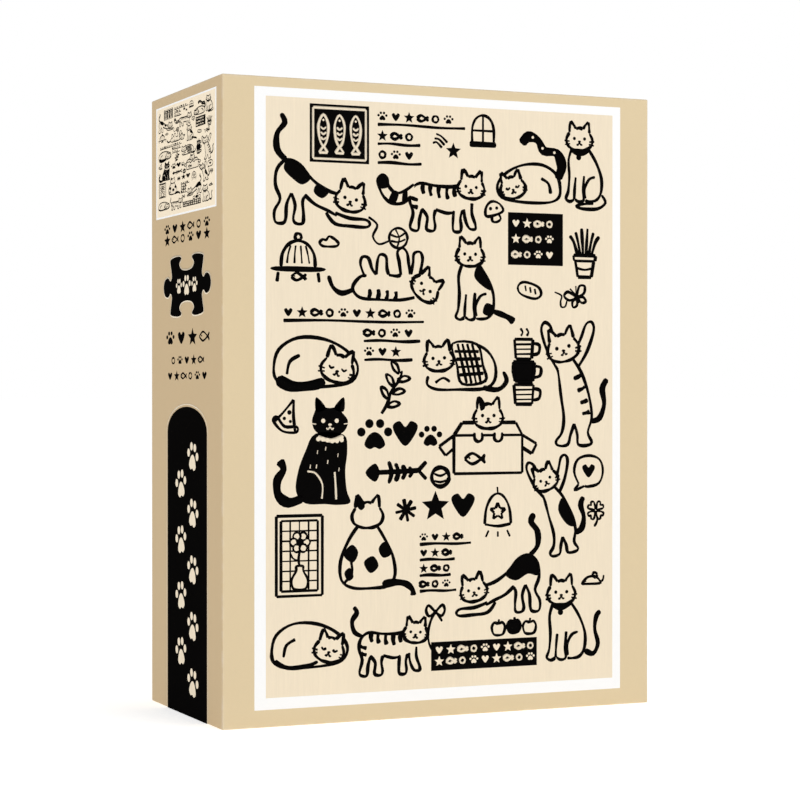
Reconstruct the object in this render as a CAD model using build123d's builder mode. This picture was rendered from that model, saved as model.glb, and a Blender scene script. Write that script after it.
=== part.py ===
from build123d import *

import os
from dataclasses import dataclass
from math import cos, hypot, pi, sin, sqrt
from random import Random

import numpy as np

# A boxed jigsaw puzzle of 500 pieces, standing on its lower edge.
#
# The box is a telescoping rigid box: a lid and a base, each folded from greyboard, held at its
# corners by paper tape and covered by a printed paper that is turned in over the rim. The lid is
# as deep as the base, so that only the back panel of the base shows. A film bag with the loose
# pieces lies in the base, with the folded picture sheet before it.
#
# Frame: X runs across the front, Y from the front to the back, and Z up. The origin is under the
# middle of the closed box. All sizes are in millimetres.

# Box, measured over the printed paper
box_width = 156.5
box_height = 210.0
box_depth = 75.0
board = 1.5  # greyboard of the lid and the base
paper = 0.16  # printed covering paper
turn_in = 16.0  # the covering paper's edge inside the rim
slip = 0.6  # gap all round between the lid's inside and the base
lid_short = 0.4  # how far the lid's rim stays short of the base's back
rim_gap = 0.3  # gap between the base's rim and the lid's front panel

# Paper tape that holds each corner, pressed flush into the greyboard
tape = 0.12
tape_leg = 14.0  # width on either side of the corner
tape_inset = 2.0  # bare board at each end of the tape

# Film bag
film = 0.15
bag_side_gap = 1.2  # gap between the bag and the base's side walls
bag_crown = 24.0  # height over which the bag narrows to its weld
bag_weld = 10.0  # height of the welded strip over the crown
bag_round = 9.0  # rounding of the bag's upright edges
bag_head_gap = 1.5  # gap between the weld and the base's upper wall
seat_gap = 0.3  # gap between a loose thing and what it lies against

# Picture sheet, folded downwards and then across
leaf_side_gap = 3.5  # gap between the folded sheet and the base's side walls
leaf_head_gap = 5.0  # gap between the folded sheet and the base's upper wall
leaf_paper = 0.15
leaf_gap = 0.12  # air between its leaves

# Puzzle
picture_width = 350.0
picture_height = 500.0
columns = 20
rows = 25
piece_thickness = 1.9
cut_clearance = 0.06  # gap between two pieces when they are joined
corner_drift = 0.5  # how far a corner of a piece may leave the even grid
knob_reach = 4.7
knob_head = 2.9  # half width of the knob
knob_neck = 1.75  # half width of the neck
knob_foot = 1.3  # how far the side begins to bend before the knob
knob_drift = 1.1  # how far a knob may leave the middle of its side
heap_gap = 0.22  # gap between pieces that lie on each other
heap_cell = 0.8  # width of the cells in which the heap's height is kept
heap_reach = 2  # cells kept free round a flat piece
askew_pieces = 100  # pieces on top of the heap that lie askew
steepest = 0.2  # their largest slope
stray = 200  # how far an askew piece may be from the lowest place, in cells
seed = 61

# Worked out from the sizes above
wall = paper + board + paper  # wall with its turned-in edge
middle = box_height / 2
base_width = box_width - 2 * (wall + slip)
base_height = box_height - 2 * (wall + slip)
lid_panel = paper + board
front_y = -box_depth / 2
back_y = box_depth / 2
tray_width = base_width - 2 * wall
tray_floor_z = middle - base_height / 2 + wall
tray_head_z = middle + base_height / 2 - wall
tray_back_y = back_y - paper - board
bag_width = tray_width - 2 * bag_side_gap
bag_floor_z = tray_floor_z + seat_gap
bag_back_y = tray_back_y - seat_gap
crown_z = tray_head_z - bag_head_gap - bag_weld - bag_crown


@dataclass
class Case:
    """A five-sided box of covered board: the lid or the base."""

    name: str
    width: float
    height: float
    depth: float
    closed_y: float  # outer face of the closed panel
    inward: int  # way from the closed panel to the rim, along Y

    def level(self, depth):
        """The plane that lies depth inside the closed panel's outer face."""
        y = self.closed_y + self.inward * depth
        return Plane(origin=(0, y, middle), x_dir=(1, 0, 0), z_dir=(0, -1, 0))

    def run(self, length):
        """The extrusion amount that goes from such a plane towards the rim."""
        return -self.inward * length


lid = Case("lid", box_width, box_height, box_depth - lid_short, front_y, 1)
base = Case("base", base_width, base_height, box_depth - lid_panel - rim_gap, back_y, -1)

sides = {"left": (-1, 0), "right": (1, 0), "top": (0, 1), "bottom": (0, -1)}
corners = {
    "top_left": (-1, 1),
    "top_right": (1, 1),
    "bottom_left": (-1, -1),
    "bottom_right": (1, -1),
}


def tape_section(case, side_x, side_z):
    """The corner tape's angle section, flush with the outside of the board."""
    board_width = case.width - 2 * paper
    board_height = case.height - 2 * paper
    with Locations((side_x * board_width / 2, side_z * board_height / 2)):
        Rectangle(2 * tape_leg, 2 * tape_leg)
    Rectangle(board_width, board_height, mode=Mode.INTERSECT)
    Rectangle(board_width - 2 * tape, board_height - 2 * tape, mode=Mode.SUBTRACT)


def make_board(case):
    """The folded greyboard: a panel and four walls, with the seats of the corner tapes."""
    with BuildPart() as folded_board:
        with BuildSketch(case.level(paper)):
            Rectangle(case.width - 2 * paper, case.height - 2 * paper)
        extrude(amount=case.run(case.depth - 2 * paper))
        with BuildSketch(case.level(paper + board)):
            Rectangle(case.width - 2 * (paper + board), case.height - 2 * (paper + board))
        extrude(amount=case.run(case.depth), mode=Mode.SUBTRACT)
        for side_x, side_z in corners.values():
            with BuildSketch(case.level(paper + tape_inset)):
                tape_section(case, side_x, side_z)
            tape_length = case.depth - 2 * paper - 2 * tape_inset
            extrude(amount=case.run(tape_length), mode=Mode.SUBTRACT)
    return folded_board.part


def make_tape(case, side_x, side_z):
    """One corner tape."""
    with BuildPart() as corner_tape:
        with BuildSketch(case.level(paper + tape_inset)):
            tape_section(case, side_x, side_z)
        extrude(amount=case.run(case.depth - 2 * paper - 2 * tape_inset))
    return corner_tape.part


def make_panel_paper(case):
    """The covering paper over the closed panel."""
    with BuildPart() as panel_paper:
        with BuildSketch(case.level(0)):
            Rectangle(case.width, case.height)
        extrude(amount=case.run(paper))
    return panel_paper.part


def make_flap_paper(case, side_x, side_z):
    """The covering paper over one wall: outside, over the rim and turned in, mitred at its ends."""
    board_width = case.width - 2 * paper
    board_height = case.height - 2 * paper
    hollow_width = board_width - 2 * board
    hollow_height = board_height - 2 * board
    mitre = wall + tape_leg
    with BuildPart() as flap_paper:
        with BuildSketch(case.level(paper)):
            Rectangle(case.width, case.height)
            Rectangle(board_width, board_height, mode=Mode.SUBTRACT)
        extrude(amount=case.run(case.depth - paper))
        with BuildSketch(case.level(case.depth - paper)):
            Rectangle(case.width, case.height)
            Rectangle(hollow_width, hollow_height, mode=Mode.SUBTRACT)
        extrude(amount=case.run(paper))
        with BuildSketch(case.level(case.depth - turn_in)):
            Rectangle(hollow_width, hollow_height)
            Rectangle(hollow_width - 2 * paper, hollow_height - 2 * paper, mode=Mode.SUBTRACT)
        extrude(amount=case.run(turn_in))
        half_width = case.width / 2
        half_height = case.height / 2
        if side_x:
            outline = [
                (side_x * half_width, half_height),
                (side_x * half_width, -half_height),
                (side_x * (half_width - mitre), mitre - half_height),
                (side_x * (half_width - mitre), half_height - mitre),
            ]
        else:
            outline = [
                (-half_width, side_z * half_height),
                (half_width, side_z * half_height),
                (half_width - mitre, side_z * (half_height - mitre)),
                (mitre - half_width, side_z * (half_height - mitre)),
            ]
        with BuildSketch(case.level(0)):
            with BuildLine():
                Polyline(*outline, close=True)
            make_face()
        extrude(amount=case.run(case.depth), mode=Mode.INTERSECT)
    return flap_paper.part


# ---- Puzzle pieces ----
# The picture stands upright in its own frame: x across, y up, origin at its lower left corner.

cell_width = picture_width / columns
cell_height = picture_height / rows
chance = Random(seed)


def draw_corners():
    """The corners of the pieces. Those inside the picture leave the even grid a little."""
    points = {}
    for row in range(rows + 1):
        for column in range(columns + 1):
            x = column * cell_width
            y = row * cell_height
            if 0 < column < columns:
                x += chance.uniform(-corner_drift, corner_drift)
            if 0 < row < rows:
                y += chance.uniform(-corner_drift, corner_drift)
            points[column, row] = (x, y)
    return points


def draw_knobs():
    """For each cut inside the picture: the way that its knob points, and its place on the side."""
    knobs = {}
    for row in range(rows):
        for column in range(columns):
            if column + 1 < columns:
                knobs["upright", column + 1, row] = (chance.choice((-1, 1)), chance.uniform(-1, 1))
            if row + 1 < rows:
                knobs["level", column, row + 1] = (chance.choice((-1, 1)), chance.uniform(-1, 1))
    return knobs


grid = draw_corners()
knobs = draw_knobs()


def knob_points(start, end, way, place, inside):
    """The points between start and end of a side with a knob. way is 1 where the knob points to the
    left of the run from start to end, and inside is 1 where the piece lies on the left."""
    length = hypot(end[0] - start[0], end[1] - start[1])
    along = ((end[0] - start[0]) / length, (end[1] - start[1]) / length)
    left = (-along[1], along[0])
    centre = length / 2 + place * knob_drift
    # A piece's own knob is narrower than the cut, and its socket is wider.
    ease = -way * inside * cut_clearance / 2
    neck = knob_neck - ease
    head = knob_head - ease
    profile = [
        (centre - head - knob_foot, 0.0),
        (centre - neck, knob_reach * 0.24),
        (centre - head, knob_reach * 0.62),
        (centre, knob_reach),
        (centre + head, knob_reach * 0.62),
        (centre + neck, knob_reach * 0.24),
        (centre + head + knob_foot, 0.0),
    ]
    points = []
    for distance, height in profile:
        across = way * height + inside * cut_clearance / 2
        points.append(
            (
                start[0] + along[0] * distance + left[0] * across,
                start[1] + along[1] * distance + left[1] * across,
            )
        )
    return points


def piece_sides(column, row):
    """The four sides of a piece, anticlockwise, each a list of points about the piece's middle."""
    middle_x = (column + 0.5) * cell_width
    middle_y = (row + 0.5) * cell_height
    ring = [(column, row), (column + 1, row), (column + 1, row + 1), (column, row + 1)]
    inset = cut_clearance / 2
    insets = [(inset, inset), (-inset, inset), (-inset, -inset), (inset, -inset)]
    cuts = [
        (("level", column, row), 0, 1, 1),
        (("upright", column + 1, row), 1, 2, 1),
        (("level", column, row + 1), 3, 2, -1),
        (("upright", column, row), 0, 3, -1),
    ]
    sides_of_piece = []
    for cut, first, last, inside in cuts:
        way, place = knobs.get(cut, (0, 0))
        bends = []
        if way:
            bends = knob_points(grid[ring[first]], grid[ring[last]], way, place, inside)
        ends = []
        for corner in (first, last):
            x, y = grid[ring[corner]]
            ends.append((x + insets[corner][0], y + insets[corner][1]))
        points = [ends[0], *bends, ends[1]]
        if inside < 0:
            points.reverse()
        sides_of_piece.append([(x - middle_x, y - middle_y) for x, y in points])
    return sides_of_piece


def draw_side(points):
    """One side of a piece: straight at the picture's edge, otherwise a smooth cut with a knob."""
    if len(points) == 2:
        Line(*points)
    else:
        along = Vector(*points[-1]) - Vector(*points[0])
        Spline(*points, tangents=(along, along), tangent_scalars=(1, 1))


# ---- Heap of loose pieces ----
# The heap lies on the bag's back face: u runs across the bag, v up from its bottom, and the
# height grows from the back face towards the front. It is kept as one height for each cell.

heap_width = bag_width - 2 * film
heap_length = crown_z - bag_floor_z - film


def film_rise(u):
    """How far the rounded edge of the bag stands off its flat face, at u."""
    into = np.clip(np.abs(u) - (heap_width / 2 - bag_round), 0, bag_round)
    return bag_round - np.sqrt(bag_round**2 - into**2)


def covers(outline, u, v):
    """Which of the places u, v lie inside the outline."""
    within = np.zeros(u.shape, dtype=bool)
    for (u1, v1), (u2, v2) in zip(outline, outline[1:] + outline[:1]):
        if v1 == v2:
            continue
        straddles = (v1 > v) != (v2 > v)
        within ^= straddles & (u < u1 + (v - v1) * (u2 - u1) / (v2 - v1))
    return within


def widen(mask, reach):
    """The mask with more cells all round."""
    wide = mask.copy()
    for shift_u in range(-reach, reach + 1):
        for shift_v in range(-reach, reach + 1):
            wide |= np.roll(mask, (shift_u, shift_v), axis=(0, 1))
    return wide


class Heap:
    """The heights of the heap, and the rule by which a piece comes to rest on it."""

    way_about = [(i, j) for i in (-1, 0, 1) for j in (-1, 0, 1) if i or j]

    def __init__(self):
        self.cells_u = int(heap_width / heap_cell)
        self.cells_v = int(heap_length / heap_cell)
        self.u = (np.arange(self.cells_u) + 0.5 - self.cells_u / 2) * heap_cell
        self.height = np.repeat(film_rise(self.u)[:, None], self.cells_v, axis=1)
        self.laid = 0

    def lowest_places(self, mask):
        """For each place of the mask on the heap, the height at which a flat piece would rest."""
        places_u = self.cells_u - mask.shape[0] + 1
        places_v = self.cells_v - mask.shape[1] + 1
        rest = np.zeros((places_u, places_v))
        for i, j in np.argwhere(mask):
            np.maximum(rest, self.height[i : i + places_u, j : j + places_v], out=rest)
        return rest

    def choose(self, rest, askew):
        """The lowest place, nearest the bottom of the bag. Pieces on top lie about at random."""
        if askew:
            order = np.argsort(rest, axis=None)
            return np.unravel_index(order[int(abs(chance.gauss(0, stray)))], rest.shape)
        lowest = np.argwhere(rest <= rest.min() + heap_gap / 4)
        return lowest[np.lexsort((lowest[:, 0], lowest[:, 1]))[0]]

    def place(self, outline):
        """Lays a piece on the heap, and gives the plane of its underside."""
        self.laid += 1
        askew = self.laid > rows * columns - askew_pieces
        turn = chance.uniform(0, 2 * pi)
        turned = [(x * cos(turn) - y * sin(turn), x * sin(turn) + y * cos(turn)) for x, y in outline]
        half_u = int(max(abs(x) for x, y in turned) / heap_cell) + heap_reach + 1
        half_v = int(max(abs(y) for x, y in turned) / heap_cell) + heap_reach + 1
        away_u, away_v = np.meshgrid(
            np.arange(-half_u, half_u + 1) * heap_cell,
            np.arange(-half_v, half_v + 1) * heap_cell,
            indexing="ij",
        )
        mask = widen(covers(turned, away_u, away_v), 1 if askew else heap_reach)
        first_u, first_v = self.choose(self.lowest_places(mask), askew)
        heights = self.height[first_u : first_u + len(mask), first_v : first_v + len(mask[0])]
        slope_u, slope_v = self.settle(heights, mask, away_u, away_v) if askew else (0, 0)
        lifted = heights - slope_u * away_u - slope_v * away_v
        level = lifted[mask].max() + heap_gap
        lean = sqrt(1 + slope_u**2 + slope_v**2)
        over = level + piece_thickness * lean + slope_u * away_u + slope_v * away_v
        heights[mask] = np.maximum(heights[mask], over[mask])
        u = self.u[first_u + half_u]
        v = (first_v + half_v + 0.5) * heap_cell
        return Plane(
            origin=(u, bag_back_y - film - level, bag_floor_z + film + v),
            x_dir=(cos(turn), -slope_u * cos(turn) - slope_v * sin(turn), sin(turn)),
            z_dir=(-slope_u / lean, -1 / lean, -slope_v / lean),
        )

    def settle(self, heights, mask, away_u, away_v):
        """The slopes at which a piece comes to rest: those that let its middle sink furthest."""

        def level(slopes):
            return (heights - slopes[0] * away_u - slopes[1] * away_v)[mask].max()

        slopes = (0.0, 0.0)
        step = steepest / 2
        while step > steepest / 100:
            turns = [(slopes[0] + i * step, slopes[1] + j * step) for i, j in self.way_about]
            lowest = min((turn for turn in turns if hypot(*turn) <= steepest), key=level)
            if level(lowest) < level(slopes):
                slopes = lowest
            else:
                step /= 2
        return slopes


heap = Heap()


def make_puzzle_row(row):
    """The pieces of one row of the picture, where they lie in the heap."""
    with BuildPart() as puzzle_row:
        for column in range(columns):
            outline_sides = piece_sides(column, row)
            outline = [point for side in outline_sides for point in side[:-1]]
            with BuildSketch(heap.place(outline)):
                with BuildLine():
                    for side in outline_sides:
                        draw_side(side)
                make_face()
        extrude(amount=piece_thickness)
    return puzzle_row.part


puzzle_rows = [make_puzzle_row(row) for row in range(rows)]

# ---- Film bag ----

heap_depth = float((heap.height + film_rise(heap.u)[:, None]).max()) + heap_gap
bag_depth = heap_depth + 2 * film
bag_middle_y = bag_back_y - bag_depth / 2
weld_z = crown_z + bag_crown


def bag_level(z):
    """The level plane at height z, under the middle of the bag."""
    return Plane(origin=(0, bag_middle_y, z), z_dir=(0, 0, 1))


def make_bag():
    """The closed bag: an upright body, a crown that narrows to the weld, and the welded strip."""
    weld_depth = 3 * film
    with BuildPart() as film_bag:
        with BuildSketch(bag_level(bag_floor_z)):
            RectangleRounded(bag_width, bag_depth, bag_round + film)
        extrude(amount=crown_z - bag_floor_z)
        with BuildSketch(bag_level(crown_z)):
            RectangleRounded(bag_width, bag_depth, bag_round + film)
        with BuildSketch(bag_level(weld_z)):
            RectangleRounded(bag_width, weld_depth, weld_depth * 0.4)
        loft()
        with BuildSketch(bag_level(weld_z)):
            RectangleRounded(bag_width, weld_depth, weld_depth * 0.4)
        extrude(amount=bag_weld)
        with BuildSketch(bag_level(bag_floor_z + film)):
            RectangleRounded(heap_width, heap_depth, bag_round)
        extrude(amount=crown_z - bag_floor_z - film, mode=Mode.SUBTRACT)
        with BuildSketch(bag_level(crown_z)):
            RectangleRounded(heap_width, heap_depth, bag_round)
        with BuildSketch(bag_level(weld_z)):
            RectangleRounded(heap_width, film, film * 0.4)
        loft(mode=Mode.SUBTRACT)
    return film_bag.part


# ---- Picture sheet ----

leaf_width = tray_width - 2 * leaf_side_gap
leaf_height = tray_head_z - tray_floor_z - seat_gap - leaf_head_gap
leaf_middle_y = bag_back_y - bag_depth - seat_gap - 2 * leaf_paper - 1.5 * leaf_gap
leaf_floor_z = tray_floor_z + seat_gap


def draw_tongue(radius):
    """A tongue with a round left end, about the middle of the cross fold."""
    left = -leaf_width / 2 + 2 * leaf_paper + 1.5 * leaf_gap
    right = leaf_width / 2
    upper = Line((right, radius), (left, radius))
    bend = TangentArc(upper @ 1, (left, -radius), tangent=(-1, 0))
    lower = Line(bend @ 1, (right, -radius))
    Line(lower @ 1, upper @ 0)


def make_sheet():
    """The folded sheet: doubled over its upper edge, then folded across at its left edge."""
    inner = leaf_gap / 2
    outer = inner + 2 * leaf_paper + leaf_gap
    floor = Plane(origin=(0, leaf_middle_y, leaf_floor_z), z_dir=(0, 0, 1))
    with BuildPart() as folded_sheet:
        with BuildSketch(floor):
            with BuildLine():
                draw_tongue(outer)
            make_face()
            with BuildLine():
                draw_tongue(inner)
            make_face(mode=Mode.SUBTRACT)
        extrude(amount=leaf_height)
        with BuildSketch(floor):
            with BuildLine():
                draw_tongue(outer - leaf_paper)
            make_face()
            with BuildLine():
                draw_tongue(inner + leaf_paper)
            make_face(mode=Mode.SUBTRACT)
        extrude(amount=leaf_height - leaf_paper, mode=Mode.SUBTRACT)
    return folded_sheet.part


# ---- Files ----


def save(part, name):
    part.label = name
    export_step(part, "parts/" + name + ".step")


os.makedirs("parts", exist_ok=True)
for case in (lid, base):
    save(make_board(case), case.name + "_board")
    save(make_panel_paper(case), case.name + "_paper_panel")
    for side, (side_x, side_z) in sides.items():
        save(make_flap_paper(case, side_x, side_z), case.name + "_paper_" + side)
    for corner, (side_x, side_z) in corners.items():
        save(make_tape(case, side_x, side_z), case.name + "_tape_" + corner)
for row, puzzle_row in enumerate(puzzle_rows, start=1):
    save(puzzle_row, f"puzzle_row_{row:02d}")
save(make_bag(), "film_bag")
save(make_sheet(), "picture_sheet")

front_room = leaf_middle_y - leaf_gap * 1.5 - 2 * leaf_paper - (front_y + lid_panel)
print("heap", round(heap_depth, 2), "bag", round(bag_depth, 2), "room", round(front_room, 2))
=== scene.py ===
"""A boxed jigsaw puzzle: a rigid box in printed paper, its bag of pieces and its folded picture."""

from collections import namedtuple
from math import cos, hypot, pi, radians, sin, sqrt
from random import Random

import bmesh
import bpy
import numpy as np
from bpy.props import FloatProperty, FloatVectorProperty, IntProperty, PointerProperty
from mathutils import Matrix, Vector, noise


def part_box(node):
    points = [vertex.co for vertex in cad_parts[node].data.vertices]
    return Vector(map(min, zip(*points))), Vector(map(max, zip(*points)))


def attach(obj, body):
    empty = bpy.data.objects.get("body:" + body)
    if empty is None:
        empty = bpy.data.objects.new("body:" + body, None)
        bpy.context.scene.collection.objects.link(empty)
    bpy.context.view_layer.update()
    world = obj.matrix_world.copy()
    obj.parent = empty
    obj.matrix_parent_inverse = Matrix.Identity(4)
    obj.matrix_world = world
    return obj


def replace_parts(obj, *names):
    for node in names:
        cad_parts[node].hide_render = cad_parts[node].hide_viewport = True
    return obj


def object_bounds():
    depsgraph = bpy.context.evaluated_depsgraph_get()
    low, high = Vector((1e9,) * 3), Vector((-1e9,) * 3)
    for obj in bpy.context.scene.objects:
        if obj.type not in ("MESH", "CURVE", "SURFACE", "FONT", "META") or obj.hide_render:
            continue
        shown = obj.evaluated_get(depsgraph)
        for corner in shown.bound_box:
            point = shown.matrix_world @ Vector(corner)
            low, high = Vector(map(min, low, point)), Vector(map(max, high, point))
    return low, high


bl_info = {
    "name": "Boxed jigsaw puzzle",
    "version": (1, 0, 0),
    "blender": (4, 5, 0),
    "location": "View3D > Sidebar > Puzzle",
    "description": "Builds the printed box, its board, the bag of pieces and the picture sheet",
    "category": "Object",
}

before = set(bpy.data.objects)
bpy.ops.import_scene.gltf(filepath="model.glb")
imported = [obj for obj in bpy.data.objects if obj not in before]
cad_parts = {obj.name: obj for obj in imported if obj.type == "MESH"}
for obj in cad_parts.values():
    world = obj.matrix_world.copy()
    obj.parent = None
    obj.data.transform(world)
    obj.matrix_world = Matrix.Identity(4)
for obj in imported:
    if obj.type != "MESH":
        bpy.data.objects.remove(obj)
cad_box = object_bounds()

MM = 0.001
SIDES = ("left", "right", "top", "bottom")
ROWS = sorted(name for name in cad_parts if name.startswith("puzzle_row_"))

# Heights of the printed layers over the covering paper, in millimetres
PRINT = 0.012
FRAME_PRINT = 0.016
PICTURE_PRINT = 0.03
DRAWING_PRINT = 0.032
LEVEL = 0.004  # from one mark of a drawing to the mark that lies over it
BACKING = 0.01  # how far a printed area reaches into the paper


def span(*nodes):
    """The lowest and highest corner of several CAD nodes together."""
    boxes = [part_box(node) for node in nodes]
    low = Vector([min(box[0][axis] for box in boxes) for axis in range(3)])
    high = Vector([max(box[1][axis] for box in boxes) for axis in range(3)])
    return low, high


def covers(case):
    """The CAD nodes of one case's covering paper."""
    return [case + "_paper_panel"] + [case + "_paper_" + side for side in SIDES]


LID = span(*covers("lid"))
BASE = span(*covers("base"))
TAPES = [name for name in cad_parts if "_tape_" in name]


# ---- Values that a user may change ----


class PuzzlePaper(bpy.types.PropertyGroup):
    thickness: FloatProperty(
        name="Paper", description="Thickness of the covering paper", default=0.12 * MM,
        unit="LENGTH", precision=5,
    )
    edge: FloatProperty(
        name="Edge", description="Rounding of the paper at the box's edges", default=0.42 * MM,
        unit="LENGTH", precision=5,
    )
    turn_in: FloatProperty(
        name="Turn-in", description="Width of the paper inside the rim", default=15.5 * MM,
        unit="LENGTH", precision=4,
    )
    ground: FloatVectorProperty(
        name="Ground", description="Tan of the printed ground", subtype="COLOR", size=3,
        default=(0.745, 0.604, 0.386),
    )
    # Painted shade: the spine gets a darker tan than the front, standing in for the shade on the
    # box's left side
    spine: FloatVectorProperty(
        name="Spine", description="Tan of the spine, darkened by painted shade", subtype="COLOR", size=3,
        default=(0.604, 0.458, 0.276),
    )
    panel: FloatVectorProperty(
        name="Panel", description="Cream of the picture", subtype="COLOR", size=3,
        default=(0.874, 0.756, 0.576),
    )
    ink: FloatVectorProperty(
        name="Ink", description="Black of the drawings", subtype="COLOR", size=3,
        default=(0.003, 0.0027, 0.0026),
    )


class PuzzlePicture(bpy.types.PropertyGroup):
    left: FloatProperty(
        name="Left", description="Picture's left edge, a share of the front's width", default=0.095
    )
    right: FloatProperty(
        name="Right", description="Picture's right edge, a share of the front's width",
        default=0.910,
    )
    bottom: FloatProperty(
        name="Bottom", description="Picture's lower edge, a share of the height", default=0.045
    )
    top: FloatProperty(
        name="Top", description="Picture's upper edge, a share of the height", default=0.970
    )
    frame_left: FloatProperty(
        name="Frame left", description="White frame's left edge", default=0.070
    )
    frame_right: FloatProperty(
        name="Frame right", description="White frame's right edge", default=0.9295
    )
    frame_bottom: FloatProperty(
        name="Frame bottom", description="White frame's lower edge", default=0.027
    )
    frame_top: FloatProperty(
        name="Frame top", description="White frame's upper edge", default=0.984
    )
    wobble: FloatProperty(
        name="Wobble", description="Unevenness of the brush", default=0.13, subtype="FACTOR"
    )


class PuzzlePieces(bpy.types.PropertyGroup):
    round_over: FloatProperty(
        name="Round-over", description="Rounding of the pressed edge", default=0.22 * MM,
        unit="LENGTH", precision=5,
    )
    face_down: FloatProperty(
        name="Face down", description="Share of the pieces that show their back", default=0.3,
        subtype="FACTOR",
    )
    back: FloatVectorProperty(
        name="Back", description="Blue-grey of the back", subtype="COLOR", size=3,
        default=(0.235, 0.335, 0.42),
    )
    seed: IntProperty(name="Seed", description="Picks the pieces that lie face down", default=7)


class PuzzleStage(bpy.types.PropertyGroup):
    key: FloatProperty(
        name="Key", description="Strength of the soft key light", default=6.2, unit="POWER"
    )
    fill: FloatProperty(
        name="Fill", description="Strength of the soft light at the left", default=3.1, unit="POWER"
    )
    surround: FloatProperty(
        name="Surround", description="Strength of the white surround", default=0.49
    )
    floor: FloatProperty(name="Floor", description="Own glow of the white floor", default=0.54)
    lens: FloatProperty(name="Lens", description="Focal length in millimetres", default=98.94)


GROUPS = {
    "puzzle_paper": PuzzlePaper,
    "puzzle_picture": PuzzlePicture,
    "puzzle_pieces": PuzzlePieces,
    "puzzle_stage": PuzzleStage,
}


# ---- Materials ----

WEAR_REACH = 0.9 * MM  # how far from an edge the print is rubbed
WEAR_SHARE = 0.5
FILM_TINT = (0.95, 0.97, 0.99, 1)


class Nodes:
    """A short way to add nodes to one tree and to join them."""

    def __init__(self, tree):
        self.tree = tree

    def add(self, kind, values=None, **settings):
        node = self.tree.nodes.new(kind)
        for name, value in settings.items():
            setattr(node, name, value)
        for name, value in (values or {}).items():
            socket = node.inputs[name]
            if isinstance(value, bpy.types.NodeSocket):
                self.tree.links.new(value, socket)
            else:
                socket.default_value = value
        return node

    def noise(self, place, scale, detail=4.0, roughness=0.5, distortion=0.0):
        values = {
            "Vector": place, "Scale": scale, "Detail": detail, "Roughness": roughness,
            "Distortion": distortion,
        }
        return self.add("ShaderNodeTexNoise", values).outputs["Fac"]

    def ramp(self, value, low, high, to_low=0.0, to_high=1.0):
        values = {
            "Value": value, "From Min": low, "From Max": high, "To Min": to_low, "To Max": to_high
        }
        return self.add("ShaderNodeMapRange", values, clamp=True).outputs["Result"]

    def maths(self, operation, first, second=0.0):
        return self.add("ShaderNodeMath", {0: first, 1: second}, operation=operation).outputs[0]

    def mix(self, share, first, second, blend="MIX"):
        node = self.tree.nodes.new("ShaderNodeMix")
        node.data_type = "RGBA"
        node.blend_type = blend
        for socket, value in (
            (node.inputs[0], share), (node.inputs[6], first), (node.inputs[7], second)
        ):
            if isinstance(value, bpy.types.NodeSocket):
                self.tree.links.new(value, socket)
            else:
                socket.default_value = value
        return node.outputs[2]

    def vector(self, operation, *values):
        inputs = dict(enumerate(values))
        return self.add("ShaderNodeVectorMath", inputs, operation=operation).outputs[0]

    def coordinates(self):
        return self.add("ShaderNodeTexCoord").outputs["Object"]

    def place(self, scale=(1, 1, 1)):
        values = {"Vector": self.coordinates(), "Scale": scale}
        return self.add("ShaderNodeMapping", values).outputs["Vector"]

    def effect(self, name, values):
        """A shared effect with its own values: its outputs."""
        node = self.add("ShaderNodeGroup", node_tree=bpy.data.node_groups[name])
        for label, value in values.items():
            node.inputs[label].default_value = value
        return node.outputs

    def bump(self, shader, height, strength, distance):
        """Feeds a height to the shader's normal."""
        values = {"Height": height, "Strength": strength, "Distance": distance}
        self.join(self.add("ShaderNodeBump", values).outputs["Normal"], shader.inputs["Normal"])

    def join(self, output, socket):
        self.tree.links.new(output, socket)


def rgba(colour):
    return (colour[0], colour[1], colour[2], 1.0)


def new_effect(name, inputs, outputs):
    """A new node group with named inputs and outputs: its nodes, its input and its output."""
    group = bpy.data.node_groups.new(name, "ShaderNodeTree")
    for label, kind, value in inputs:
        socket = group.interface.new_socket(label, in_out="INPUT", socket_type=kind)
        socket.default_value = value
    for label, kind in outputs:
        group.interface.new_socket(label, in_out="OUTPUT", socket_type=kind)
    return Nodes(group), group.nodes.new("NodeGroupInput"), group.nodes.new("NodeGroupOutput")


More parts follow.
